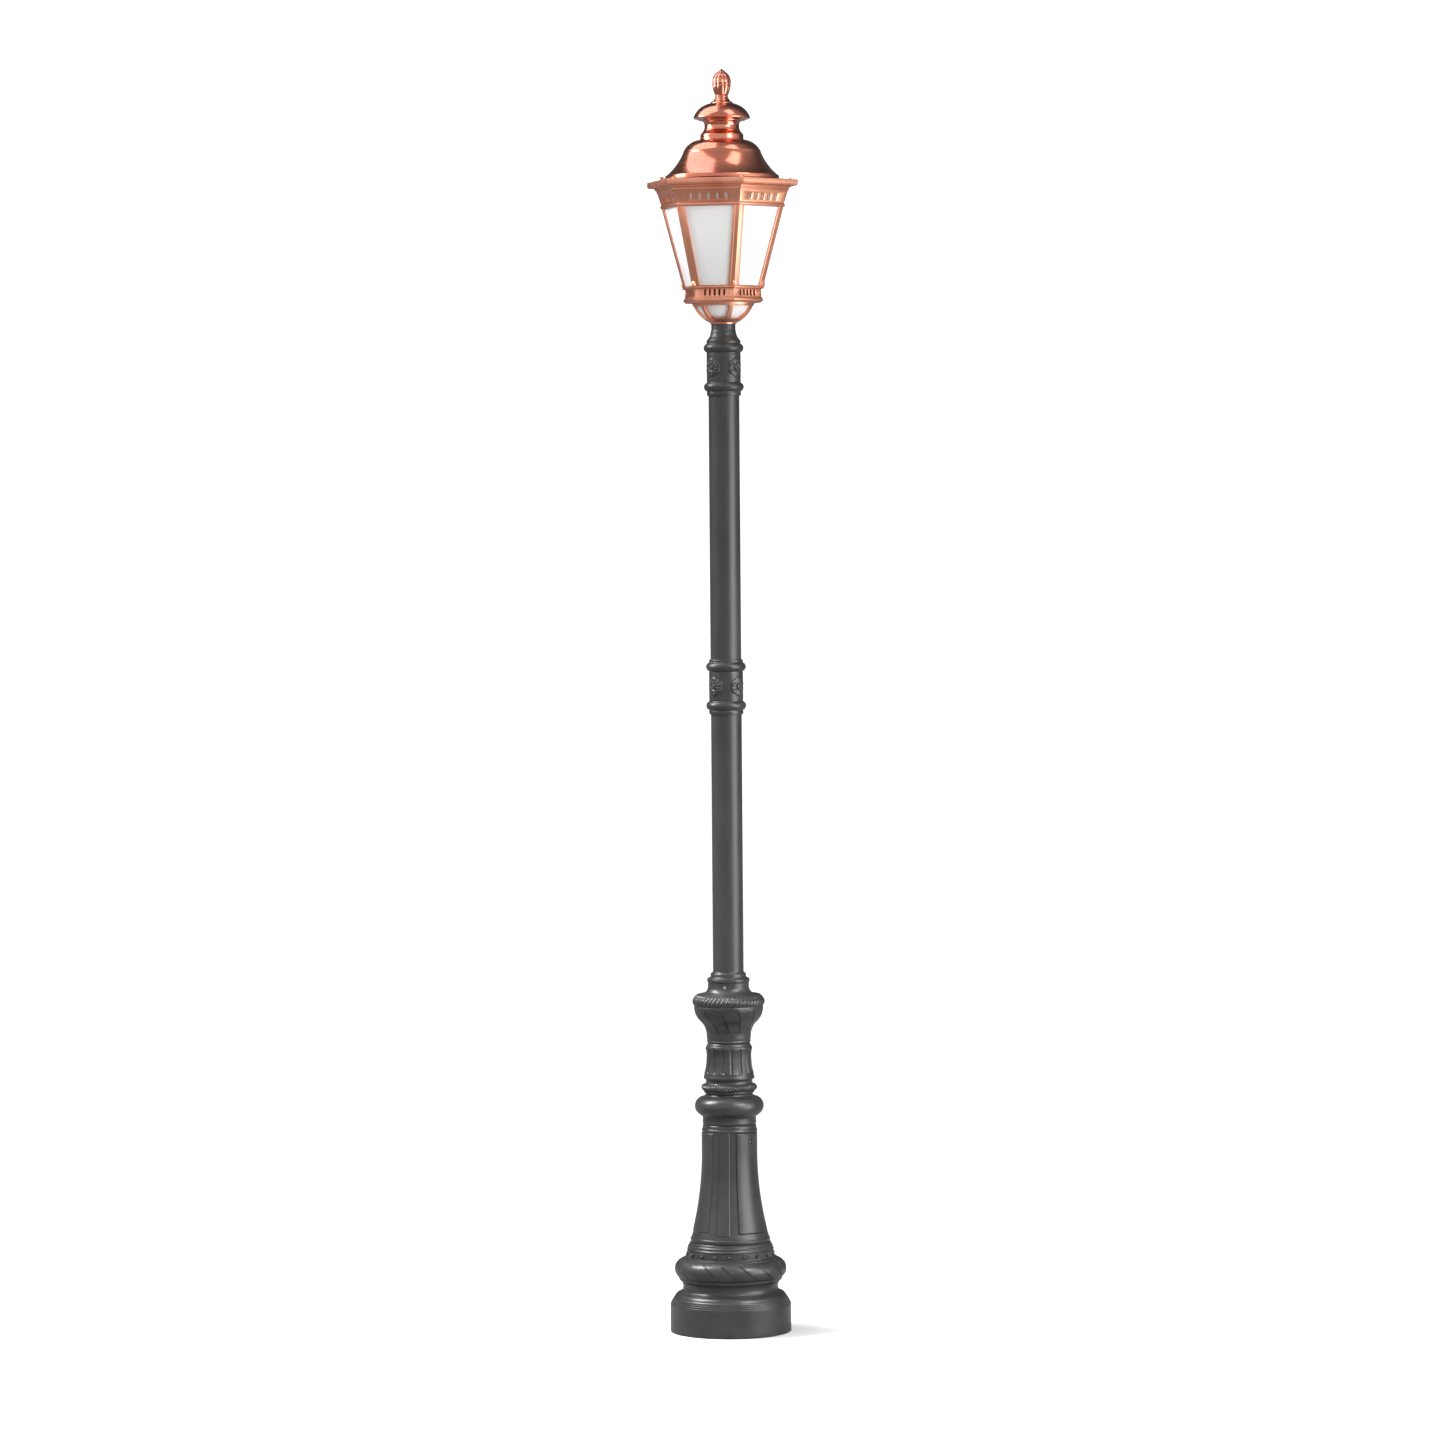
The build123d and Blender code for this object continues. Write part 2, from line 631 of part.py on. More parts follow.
def angle_bar(corner_r):
    """Section of a corner post whose outer corner lies at a radius along x."""
    reach_x, reach_y = FLANGE / 2, FLANGE * COS30
    back = FLANGE_T / COS30
    side_x, side_y = FLANGE_T * COS30, FLANGE_T / 2
    Polygon(
        (corner_r, 0),
        (corner_r - reach_x, reach_y),
        (corner_r - reach_x - side_x, reach_y - side_y),
        (corner_r - back, 0),
        (corner_r - reach_x - side_x, side_y - reach_y),
        (corner_r - reach_x, -reach_y),
        align=None,
    )


with BuildPart() as corner_posts:
    for angle in face_angles():
        with BuildSketch(turned_ground(angle + 30, GALLERY_TOP)):
            angle_bar(POST_FOOT_R)
        with BuildSketch(turned_ground(angle + 30, POST_HEAD_Z)):
            angle_bar(POST_HEAD_R)
        loft()
        # cast foot block that the foot nut draws down
        with BuildSketch(turned_ground(angle + 30, GALLERY_TOP)):
            with Locations((117, 0)):
                Rectangle(12, 11)
        extrude(amount=13)
keep(corner_posts, "corner_posts")

with BuildPart() as foot_nuts:
    for angle in face_angles():
        with BuildSketch(facing(angle + 30, 123, 3028)):
            Circle(3.2)
        extrude(amount=3.4, taper=12)
keep(foot_nuts, "foot_nuts")

# a face leans out as it rises; each pane lies just behind the posts' flanges
lean_run = (POST_HEAD_R - POST_FOOT_R) * COS30
lean_rise = POST_HEAD_Z - GALLERY_TOP
lean_length = sqrt(lean_run**2 + lean_rise**2)
for number, angle in enumerate(face_angles(), start=1):
    a = radians(angle)
    apothem = POST_FOOT_R * COS30 - FLANGE_T - 0.2
    foot_half = POST_FOOT_R / 2 - FLANGE + PANE_LAP
    head_half = POST_HEAD_R / 2 - FLANGE + PANE_LAP
    level, upright = lean_run / lean_length, lean_rise / lean_length
    pane_plane = Plane(
        origin=(apothem * cos(a), apothem * sin(a), GALLERY_TOP + 1.2),
        x_dir=(-sin(a), cos(a), 0),
        z_dir=(upright * cos(a), upright * sin(a), -level),
    )
    with BuildPart() as pane:
        with BuildSketch(pane_plane):
            Polygon(
                (-foot_half, 0),
                (foot_half, 0),
                (head_half, lean_length - 2),
                (-head_half, lean_length - 2),
                align=None,
            )
        extrude(amount=-PANE_T)
    keep(pane, f"pane_{number}")

# ---------------------------------------------------------------- lantern: frieze and cornice
with BuildPart() as frieze:
    hexagon_stack((181.5, POST_HEAD_Z), (184.5, POST_HEAD_Z + 10))
    hexagon_stack((179, POST_HEAD_Z), (197, FRIEZE_TOP))
    hexagon_stack((174, POST_HEAD_Z), (192, FRIEZE_TOP), mode=Mode.SUBTRACT)
    slots(197 * COS30, 3272, pitch=26, long=20, wide=8, depth=24)
keep(frieze, "frieze")

with BuildPart() as cornice:
    hexagon_stack((197, FRIEZE_TOP), (CORNICE_R, 3307), (CORNICE_R, CORNICE_TOP))
    hexagon_stack((190, FRIEZE_TOP + 3), (190, CORNICE_TOP - 3), mode=Mode.SUBTRACT)
    with BuildSketch(Plane.XY.offset(FRIEZE_TOP)):
        Circle(SHELF_HOLE_R)
    extrude(amount=3, mode=Mode.SUBTRACT)
    with BuildSketch(Plane.XY.offset(CORNICE_TOP - 3)):
        Circle(DECK_HOLE_R)
    extrude(amount=3, mode=Mode.SUBTRACT)
keep(cornice, "cornice")

with BuildPart() as cornice_screws:
    with BuildSketch(Plane.XY.offset(CORNICE_TOP)):
        with PolarLocations(201, 6, start_angle=FRONT + 30):
            Circle(4)
    extrude(amount=3.2, taper=20)
keep(cornice_screws, "cornice_screws")

# ---------------------------------------------------------------- lantern: stem and light source
TRAY_Z, TRAY_T, FIN_H = FRIEZE_TOP + 3, 3, 8

with BuildPart() as stem:
    with BuildSketch(Plane.XY.offset(SPIGOT_TOP + 2)):
        Circle(STEM_R)
        Circle(STEM_BORE, mode=Mode.SUBTRACT)
    extrude(amount=TRAY_Z + TRAY_T + 6 - SPIGOT_TOP - 2)
    with BuildSketch(Plane.XY.offset(TRAY_Z + TRAY_T)):
        RegularPolygon(13, 6)
        Circle(STEM_BORE, mode=Mode.SUBTRACT)
    extrude(amount=5)
keep(stem, "stem")

with BuildPart() as led_tray:
    with BuildSketch(Plane.XY.offset(TRAY_Z)):
        Circle(DECK_HOLE_R - 1.5)
        Circle(STEM_R + 0.2, mode=Mode.SUBTRACT)
    extrude(amount=TRAY_T)
    with BuildSketch(Plane.XY.offset(TRAY_Z + TRAY_T)):
        with PolarLocations(76, 16):
            Rectangle(108, 3)
    extrude(amount=FIN_H)
keep(led_tray, "led_tray")

with BuildPart() as led_ring:
    with BuildSketch(Plane.XY.offset(TRAY_Z - 1.6)):
        Circle(75)
        Circle(30, mode=Mode.SUBTRACT)
    extrude(amount=1.6)
keep(led_ring, "led_ring")

with BuildPart() as led_lens:
    turned(
        [(74, TRAY_Z - 9.6), (80, TRAY_Z - 5, 1.5), (80, TRAY_Z - 1.6)],
        [(28, TRAY_Z - 1.6), (28, TRAY_Z - 5)],
    )
keep(led_lens, "led_lens")

with BuildPart() as led_driver:
    with Locations((0, 0, TRAY_Z + TRAY_T + FIN_H + 12)):
        Box(130, 46, 24)
    fillet(led_driver.edges().filter_by(Axis.Z), radius=4)
keep(led_driver, "led_driver")

# ---------------------------------------------------------------- roof
with BuildPart() as dome:
    turned(
        [
            (157, DOME_Z),
            (DOME_R, DOME_Z),
            (DOME_R, 3338),
            (160, 3340),
            (112.5, 3404, -4.7),
            (108, 3414, 0.8),
            (66, DOME_TOP, 6),
        ],
        [
            (56, DOME_TOP),
            (56, DOME_TOP - 2),
            (65, DOME_TOP - 2),
            (106.3, 3412.5, 6),
            (110.5, 3403),
            (157, 3339, -4.7),
        ],
    )
    # keeper that the catch turns over
    with BuildSketch(turned_ground(CATCH_ANGLE, DOME_Z)):
        with Locations((166.5, 0)):
            Rectangle(11, 12)
    extrude(amount=3)
keep(dome, "dome")

with BuildPart() as dome_gasket:
    with BuildSketch(Plane.XY.offset(CORNICE_TOP + FIT)):
        Circle(162)
        Circle(157.5, mode=Mode.SUBTRACT)
    extrude(amount=DOME_Z - CORNICE_TOP - FIT)
keep(dome_gasket, "dome_gasket")

STUD_R = 4
with BuildPart() as chimney:
    turned(
        [
            (62, DOME_TOP),
            (62, 3455),
            (59.4, 3460, 0.6),
            (49.6, 3481, -2.5),
            (54, 3494, -0.8),
            (57, CHIMNEY_TOP),
        ],
        [(46, CHIMNEY_TOP), (46, DOME_TOP)],
    )
    # bar across the bore that anchors the finial's stud
    with BuildSketch(Plane.XY.offset(3460)):
        Rectangle(94, 14)
    extrude(amount=6)
    with BuildSketch(Plane.XY.offset(3460)):
        Circle(STUD_R + 0.05)
    extrude(amount=6, mode=Mode.SUBTRACT)
keep(chimney, "chimney")

with BuildPart() as chimney_cap:
    turned(
        [
            (48, CHIMNEY_TOP),
            (66.4, CHIMNEY_TOP),
            (80.8, 3503, -0.8),
            (81.4, 3506),
            (44, 3543, 5.9),
            (34, CAP_TOP),
        ],
        [
            (STUD_R + 0.05, CAP_TOP),
            (STUD_R + 0.05, CAP_TOP - 3),
            (42, 3540.5),
            (77.5, 3505, 5.5),
            (66, 3500),
            (48, 3500),
        ],
    )
keep(chimney_cap, "chimney_cap")

with BuildPart() as finial:
    turned(
        [
            (32.3, CAP_TOP),
            (29, 3552, 0.5),
            (21.5, 3560, -1),
            (16.9, 3566),
            (17.1, 3569),
            (25.6, 3600, 2.2),
            (19, 3629, 3.4),
            (7, 3640, -0.5),
            (0, TIP_Z),
        ],
        [(0, 3570), (STUD_R, 3570), (STUD_R, CAP_TOP)],
    )
keep(finial, "finial")

with BuildPart() as finial_stud:
    with BuildSketch(Plane.XY.offset(3452)):
        Circle(STUD_R)
    extrude(amount=3570 - 3452)
    with BuildSketch(Plane.XY.offset(3454)):
        RegularPolygon(8, 6)
    extrude(amount=6)
keep(finial_stud, "finial_stud")

# ---------------------------------------------------------------- roof hinge and catch
HINGE_GROUND = turned_ground(HINGE_ANGLE)
OUTER_KNUCKLE = 14


def knuckle(middle, length, bore=True):
    """One barrel of the hinge, centred at a distance along its pin."""
    a = radians(HINGE_ANGLE)
    centre = (HINGE_R * cos(a), HINGE_R * sin(a), HINGE_Z)
    along = Plane(origin=centre, x_dir=(cos(a), sin(a), 0), z_dir=(-sin(a), cos(a), 0))
    with BuildSketch(along.offset(middle - length / 2)) as barrel:
        Circle(KNUCKLE_R)
    extrude(barrel.sketch, amount=length)
    with BuildSketch(along.offset(middle - length / 2)) as pin_hole:
        Circle(HINGE_PIN_R + 0.05)
    extrude(pin_hole.sketch, amount=length, mode=Mode.SUBTRACT)


outer_middle = KNUCKLE_L / 2 + FIT + OUTER_KNUCKLE / 2
with BuildPart(HINGE_GROUND) as hinge_fixed_leaf:
    with Locations((184, 0, CORNICE_TOP + 1.5)):
        Box(12, 56, 3)
    with Locations(
        (175.5, outer_middle, CORNICE_TOP + 1.5), (175.5, -outer_middle, CORNICE_TOP + 1.5)
    ):
        Box(7, OUTER_KNUCKLE, 3)
    for side in (-1, 1):
        knuckle(side * outer_middle, OUTER_KNUCKLE)
keep(hinge_fixed_leaf, "hinge_fixed_leaf")

with BuildPart(HINGE_GROUND) as hinge_moving_leaf:
    with Locations(((DOME_R + HINGE_R) / 2, 0, HINGE_Z + 2.4)):
        Box(HINGE_R - DOME_R, KNUCKLE_L, 4)
    knuckle(0, KNUCKLE_L)
keep(hinge_moving_leaf, "hinge_moving_leaf")

with BuildPart() as hinge_pin:
    pin_a = radians(HINGE_ANGLE)
    pin_plane = Plane(
        origin=(HINGE_R * cos(pin_a), HINGE_R * sin(pin_a), HINGE_Z),
        x_dir=(cos(pin_a), sin(pin_a), 0),
        z_dir=(-sin(pin_a), cos(pin_a), 0),
    )
    with BuildSketch(pin_plane):
        Circle(HINGE_PIN_R)
    extrude(amount=KNUCKLE_L / 2 + FIT + OUTER_KNUCKLE, both=True)
keep(hinge_pin, "hinge_pin")

with BuildPart(turned_ground(CATCH_ANGLE)) as roof_catch:
    # released: the arm lies along the rim; a quarter turn brings it over the keeper
    with Locations((CATCH_R, 0, CORNICE_TOP + FIT + 4)):
        Cylinder(4.5, 8)
    with Locations((CATCH_R, -CATCH_ARM / 2, CORNICE_TOP + 9.3)):
        Box(8, CATCH_ARM, 3)
    with Locations((CATCH_R, 0, CORNICE_TOP + 9.3)):
        Cylinder(5, 3)
keep(roof_catch, "roof_catch")
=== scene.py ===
"""The looks of a street lamp post: castings and tubes under a graphite powder coat, and a hexagonal
copper lantern with opal glazing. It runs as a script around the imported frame."""

import json
from math import atan, ceil, cos, hypot, pi, radians, sin, sqrt

import bmesh
import bpy
import numpy as np
from bpy.props import FloatProperty, FloatVectorProperty, IntProperty, PointerProperty
from mathutils import Matrix, Vector

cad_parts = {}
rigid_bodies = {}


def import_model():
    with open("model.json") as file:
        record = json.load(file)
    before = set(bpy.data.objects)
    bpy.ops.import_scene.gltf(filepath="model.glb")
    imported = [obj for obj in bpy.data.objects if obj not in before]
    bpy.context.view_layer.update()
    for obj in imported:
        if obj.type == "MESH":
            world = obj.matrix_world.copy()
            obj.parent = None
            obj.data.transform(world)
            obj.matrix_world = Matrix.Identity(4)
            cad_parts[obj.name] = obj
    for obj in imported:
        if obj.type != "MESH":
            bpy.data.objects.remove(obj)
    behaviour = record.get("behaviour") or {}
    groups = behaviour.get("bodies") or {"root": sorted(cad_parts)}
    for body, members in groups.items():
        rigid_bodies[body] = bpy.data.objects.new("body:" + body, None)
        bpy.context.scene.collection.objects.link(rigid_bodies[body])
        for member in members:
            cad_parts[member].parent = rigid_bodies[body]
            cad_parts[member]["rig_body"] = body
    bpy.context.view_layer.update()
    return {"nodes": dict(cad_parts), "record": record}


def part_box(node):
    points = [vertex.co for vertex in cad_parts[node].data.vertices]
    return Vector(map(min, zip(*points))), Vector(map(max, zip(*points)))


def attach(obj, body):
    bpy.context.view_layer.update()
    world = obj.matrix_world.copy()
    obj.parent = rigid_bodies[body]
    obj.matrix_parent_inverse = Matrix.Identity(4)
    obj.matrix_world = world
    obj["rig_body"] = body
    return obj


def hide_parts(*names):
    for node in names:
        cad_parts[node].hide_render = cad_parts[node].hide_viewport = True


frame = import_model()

bl_info = {
    "name": "Street Lamp Post",
    "version": (1, 0, 0),
    "blender": (4, 5, 0),
    "location": "3D View > Sidebar > Lamp Post",
    "description": "Builds the finished pieces of a cast street lamp post around its packed frame",
    "category": "Object",
}

MM = 0.001
COS30 = sqrt(3) / 2  # a hexagon's apothem over its corner radius
FRONT = -90  # polar angle of the lantern's front face, degrees from +X
PILASTERS = FRONT + 3  # first of the pedestal's three pilasters
DOOR = FRONT + 63  # middle of the service door
ROSETTES = FRONT + 60  # first of four rosettes on each collar
PEARLS = FRONT + 13  # first pearl of the pearl band
RIBBONS = PEARLS + 12  # middle of the torus's first ribbon, at its foot
FLUTES = FRONT + 21.1  # first flute of the drum
GADROONS = FRONT - 13.1  # first line between the vase's lobes
SHEET = 28  # crease angle of bevelled sheet and bar, which keeps flat faces flat, degrees
SIX_SIDED = {"segments": 6, "fine": 0.1, "turn": 9}  # how hexagonal mouldings are traced
SLOT_OF = {part["node"]: part["material_slot"] for part in frame["record"]["subparts"]}


# ---------------------------------------------------------------- colours and sizes a user may change
def linear(hex_colour):
    """The linear red, green and blue of an sRGB hex colour."""
    channels = [int(hex_colour[i : i + 2], 16) / 255 for i in (0, 2, 4)]
    return tuple(c / 12.92 if c <= 0.04045 else ((c + 0.055) / 1.055) ** 2.4 for c in channels)


def colour_property(name, description, hex_colour):
    """A colour picker with a default given in sRGB."""
    return FloatVectorProperty(
        name=name, description=description, subtype="COLOR", min=0, max=1, default=linear(hex_colour)
    )


class LampPostColours(bpy.types.PropertyGroup):
    """Colours of the finishes that show."""

    coat: colour_property("Powder coat", "Graphite powder coat of post and base", "2C2C2D")
    coat_light: colour_property("Powder coat, light", "Lighter specks and edges of the coat", "363637")
    # Each copper's two colours are also painted across it in broad bands that stand in for reflections: the
    # bright one for highlights, the deep one for dim reflections, besides the fine streaks.
    copper: colour_property("Spun copper", "Lacquered spun copper", "D8754C")
    copper_deep: colour_property("Spun copper, deep", "Redder streaks of the spun copper", "BC4632")
    copper_frame: colour_property("Frame copper", "Brushed copper of the frame", "EAA081")
    copper_frame_deep: colour_property("Frame copper, deep", "Redder streaks in it", "DB8769")
    opal: colour_property("Opal glazing", "Body colour of the opal panes and bowl", "EDEDEC")
    floor: colour_property("Floor", "Pale studio floor", "E9E9E9")


class LampPostSizes(bpy.types.PropertyGroup):
    """Counts and depths of the ornament."""

    ribbons: IntProperty(name="Ribbons", description="Ribbons wound round the foot torus", default=18)
    pearls: IntProperty(name="Pearls", description="Pearls on the band over the torus", default=18)
    pearl_radius: FloatProperty(
        name="Pearl radius", description="Radius of one pearl", default=0.0055, unit="LENGTH"
    )
    beads: IntProperty(name="Beads", description="Slanting beads of the bead ring", default=52)
    flutes: IntProperty(name="Flutes", description="Flutes of the drum", default=16)
    gadroons: IntProperty(name="Gadroons", description="Twisted lobes on the vase's body", default=12)
    rim_lobes: IntProperty(name="Rim lobes", description="Small lobes round the vase's rim", default=48)
    petals: IntProperty(name="Petals", description="Leaves of the finial's bud", default=8)
    edge: FloatProperty(
        name="Edge radius", description="Bevel along sheet metal edges", default=0.0006, unit="LENGTH"
    )


# ---------------------------------------------------------------- outlines and turned shells
def foot(node):
    """Height of a CAD node's lowest point, in metres."""
    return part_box(node)[0].z


def height_of(node):
    """A CAD node's own height, in millimetres."""
    low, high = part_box(node)
    return (high.z - low.z) / MM


def middle_of(node):
    """Height of a CAD node's middle, in metres."""
    low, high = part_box(node)
    return (low.z + high.z) / 2


def traced(outline, soft=1.6, fine=0.2, turn=4, reach=12):
    """Points along (radius, height) corners in millimetres. A third value bends a run outwards by
    that much. Corners are softened over a short length, and straight stretches get few points."""
    runs = []
    for (r0, z0, *_), (r1, z1, *bulge) in zip(outline, outline[1:]):
        chord = hypot(r1 - r0, z1 - z0)
        steps = np.linspace(0, 1, max(3, ceil(chord / fine)), endpoint=False)
        along, across = steps * chord, np.zeros_like(steps)
        if bulge and bulge[0]:
            half_turn = 2 * atan(2 * bulge[0] / chord)
            radius = chord / 2 / sin(half_turn)
            lean = (2 * steps - 1) * half_turn
            along = chord / 2 + radius * np.sin(lean)
            across = radius * (np.cos(lean) - cos(half_turn))
        out = (abs(z1 - z0) / chord, (r0 - r1) / chord * (1 if z1 > z0 else -1))
        r = r0 + (r1 - r0) * along / chord + out[0] * across
        z = z0 + (z1 - z0) * along / chord + out[1] * across
        runs.append(np.column_stack([r, z]))
    path = np.vstack(runs + [np.array([outline[-1][:2]], float)])
    window = max(1, round(soft / fine))
    padded = np.pad(path, ((window, window), (0, 0)), mode="reflect", reflect_type="odd")
    kernel = np.hanning(2 * window + 1)
    kernel /= kernel.sum()
    eased = np.column_stack([np.convolve(padded[:, k], kernel, "valid") for k in (0, 1)])
    heading = np.degrees(np.unwrap(np.arctan2(*np.diff(eased, axis=0).T[::-1])))
    kept, last_heading = [0], heading[0]
    for i in range(1, len(eased) - 1):
        gone = np.hypot(*(eased[i] - eased[kept[-1]]))
        if abs(heading[i] - last_heading) > turn or gone > reach:
            kept.append(i)
            last_heading = heading[i]
    return eased[kept + [len(eased) - 1]]


def outward(skin):
    """Unit normals of an outline that runs upwards."""
    tangent = np.gradient(skin, axis=0)
    tangent /= np.maximum(np.hypot(*tangent.T), 1e-9)[:, None]
    return np.column_stack([tangent[:, 1], -tangent[:, 0]])


def taken(name, work):
    """The mesh that a bmesh holds. The bmesh is freed."""
    mesh = bpy.data.meshes.new(name)
    work.to_mesh(mesh)
    work.free()
    return mesh


def mesh_from(name, points, faces):
    """A mesh from points in metres, its doubles merged and its empty faces gone."""
    mesh = bpy.data.meshes.new(name)
    mesh.from_pydata(points.tolist(), [], faces.tolist())
    work = bmesh.new()
    work.from_mesh(mesh)
    bmesh.ops.remove_doubles(work, verts=work.verts, dist=1e-6)
    work.to_mesh(mesh)
    work.free()
    return mesh


def around(angles, radius, height):
    """Points in metres from polar angles in degrees, and radii and heights in millimetres."""
    turn, radius, height = np.broadcast_arrays(np.radians(angles), radius, height)
    return np.stack([radius * np.cos(turn), radius * np.sin(turn), height], axis=-1) * MM


def turned(name, outside, inside, base, segments=144, relief=None, angles=None, slant=0, **tracing):
    """A closed shell turned about the axis. The outside outline runs up and the inside corners run
    down; relief(angle, height) says how far the outside stands proud of its outline. Its columns
    stand at even steps or at given angles, and turn back by slant degrees for each millimetre up."""
    skin = traced(outside, **tracing)
    loop = np.vstack([skin, np.array(inside, float)]) if inside else skin
    angles = np.arange(segments) * 360 / segments if angles is None else angles
    segments = len(angles)
    radius = np.tile(loop[:, 0], (segments, 1))
    height = np.tile(loop[:, 1], (segments, 1))
    angles = angles[:, None] - slant * height
    if relief:
        lift = relief(angles[:, : len(skin)], skin[None, :, 1])
        normal = outward(skin)
        radius[:, : len(skin)] += lift * normal[:, 0]
        height[:, : len(skin)] += lift * normal[:, 1]
    points = around(angles, radius, height + base / MM).reshape(-1, 3)
    here = np.arange(segments)[:, None] * len(loop) + np.arange(len(loop))[None, :]
    beside = np.roll(here, -1, axis=0)
    above, above_beside = np.roll(here, -1, axis=1), np.roll(beside, -1, axis=1)
    faces = np.stack([here, beside, above_beside, above], axis=-1).reshape(-1, 4)
    return mesh_from(name, points, faces)


def add_turned(name, node, outside, inside, look, **options):
    """A turned piece that stands for a CAD node, its outlines measured from that node's foot."""
    add_piece(name, turned(name, outside, inside, foot(node), **options), look, [node])


def drum(radius, low, high, base, segments=6):
    """A solid drum or hexagonal block, as a cutter."""
    outline = [(0.01, low), (radius, low), (radius, high), (0.01, high)]
    return turned("drum", outline, [], base, segments=segments, soft=0.1)


def bore(radius, near, far, height, angle, segments):
    """A round cutter that points away from the axis, at a height in metres and a polar angle."""
    tool = turned("bore", [(radius, near), (radius, far)], [(0.01, far), (0.01, near)], 0, segments=segments)
    tool.transform(Matrix.Rotation(pi / 2, 4, "Y"))
    tool.transform(Matrix.Translation((0, 0, height)))
    tool.transform(Matrix.Rotation(radians(angle), 4, "Z"))
    return tool


def pierced_wall(name, angles, skin, thickness, relief, solid, base, closed=True):
    """A wall round the axis between given angles, with its edges closed wherever solid(angle,
    height) is false: the pedestal round its door opening, and the door itself."""
    outer = around(angles[:, None], skin[None, :, 0] + relief, skin[None, :, 1] + base / MM)
    inner = around(angles[:, None], skin[None, :, 0] - thickness, skin[None, :, 1] + base / MM)
    points = np.concatenate([outer.reshape(-1, 3), inner.reshape(-1, 3)])
    columns, rows = len(angles), len(skin)
    index = np.arange(columns * rows).reshape(columns, rows)
    back = index + columns * rows
    middle_angle = angles + np.diff(angles, append=angles[0] + 360) / 2
    middle_height = (skin[:-1, 1] + skin[1:, 1]) / 2
    full = solid(middle_angle[:, None], middle_height[None, :])
    if not closed:
        full[-1] = False
    filled = np.pad(full, ((0, 0), (1, 1)))
    faces = []
    for i in range(columns):
        j = (i + 1) % columns
        for k in range(rows - 1):
            if not full[i, k]:
                continue
            faces.append((index[i, k], index[j, k], index[j, k + 1], index[i, k + 1]))
            faces.append((back[j, k], back[i, k], back[i, k + 1], back[j, k + 1]))
            if not filled[i, k]:
                faces.append((index[j, k], index[i, k], back[i, k], back[j, k]))
            if not filled[i, k + 2]:
                faces.append((index[i, k + 1], index[j, k + 1], back[j, k + 1], back[i, k + 1]))
            if not full[i - 1, k]:
                faces.append((index[i, k], index[i, k + 1], back[i, k + 1], back[i, k]))
            if not full[j, k]:
                faces.append((index[j, k + 1], index[j, k], back[j, k], back[j, k + 1]))
    return mesh_from(name, points, np.array(faces))


def apart(angle, count, phase):
    """Signed degrees from the nearest of several equally spaced angles."""
    pitch = 360 / count
    return (angle - phase + pitch / 2) % pitch - pitch / 2


def ease(value):
    """A smooth step from 0 to 1."""
    value = np.clip(value, 0, 1)
    return value * value * (3 - 2 * value)


def ridge(distance, width):
    """A rounded ridge of full width, 1 along its middle and 0 beyond its sides."""
    return 0.5 + 0.5 * np.cos(pi * np.clip(2 * distance / width, -1, 1))


# ---------------------------------------------------------------- pieces
def add_piece(name, mesh, look, replaced=(), body="post", crease=50):
    """Shows a finished mesh on a CAD body, in place of the CAD nodes that it stands for. Edges that
    turn by more than the crease angle stay sharp."""
    piece = bpy.data.objects.new(name, mesh)
    bpy.context.scene.collection.objects.link(piece)
    mesh.materials.clear()
    mesh.materials.append(look)
    mesh.polygons.foreach_set("material_index", [0] * len(mesh.polygons))
    mesh.shade_smooth()
    mesh.set_sharp_from_angle(angle=radians(crease))
    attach(piece, body)
    if replaced:
        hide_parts(*replaced)


def evaluated(mesh, modifiers):
    """The plain mesh that a list of (modifier type, settings) makes of a mesh. Settings may hold
    node group inputs by name under "inputs"."""
    holder = bpy.data.objects.new("holder", mesh)
    bpy.context.scene.collection.objects.link(holder)
    for kind, settings in modifiers:
        modifier = holder.modifiers.new(kind, kind)
        inputs = settings.pop("inputs", {})
        for key, value in settings.items():
            setattr(modifier, key, value)
        for item in modifier.node_group.interface.items_tree if inputs else ():
            if item.name in inputs and item.in_out == "INPUT":
                modifier[item.identifier] = inputs[item.name]
    seen = holder.evaluated_get(bpy.context.evaluated_depsgraph_get())
    result = bpy.data.meshes.new_from_object(seen)
    result.name = mesh.name
    bpy.data.objects.remove(holder)
    return result


def bevelled(mesh, width, segments=2):
    """The mesh with its sharp edges rounded."""
    settings = {
        "width": width,
        "segments": segments,
        "limit_method": "ANGLE",
        "angle_limit": radians(32),
        "miter_outer": "MITER_ARC",
    }
    return evaluated(mesh, [("BEVEL", settings)])


def carved(mesh, *cutters):
    """The mesh less every cutter mesh."""
    for cutter in cutters:
        tool = bpy.data.objects.new("cutter", cutter)
        bpy.context.scene.collection.objects.link(tool)
        mesh = evaluated(mesh, [("BOOLEAN", {"operation": "DIFFERENCE", "object": tool, "solver": "EXACT"})])
        bpy.data.objects.remove(tool)
    return mesh


def welded(node):
    """A copy of a CAD node's mesh with its doubles merged and its flat faces joined."""
    work = bmesh.new()
    work.from_mesh(frame["nodes"][node].data)
    bmesh.ops.remove_doubles(work, verts=work.verts, dist=5e-6)
    bmesh.ops.dissolve_limit(work, angle_limit=radians(0.5), verts=work.verts, edges=work.edges)
    return taken(f"{node}_copy", work)


def lofted(name, lower, upper):
    """A closed solid between two rings of (x, y, z) corners in millimetres, counted anticlockwise."""
    sides = len(lower)
    points = np.array([*lower, *upper], float) * MM
    mesh = bpy.data.meshes.new(name)
    walls = [(i, (i + 1) % sides, sides + (i + 1) % sides, sides + i) for i in range(sides)]
    caps = [tuple(reversed(range(sides))), tuple(range(sides, 2 * sides))]
    mesh.from_pydata(points.tolist(), [], walls + caps)
    return mesh


def prism(name, corners, low, high):
    """A closed upright prism through (x, y) corners in millimetres, counted anticlockwise."""
    return lofted(name, *([(x, y, z) for x, y in corners] for z in (low, high)))


def joined(name, meshes):
    """Several meshes as one."""
    work = bmesh.new()
    for mesh in meshes:
        work.from_mesh(mesh)
    return taken(name, work)


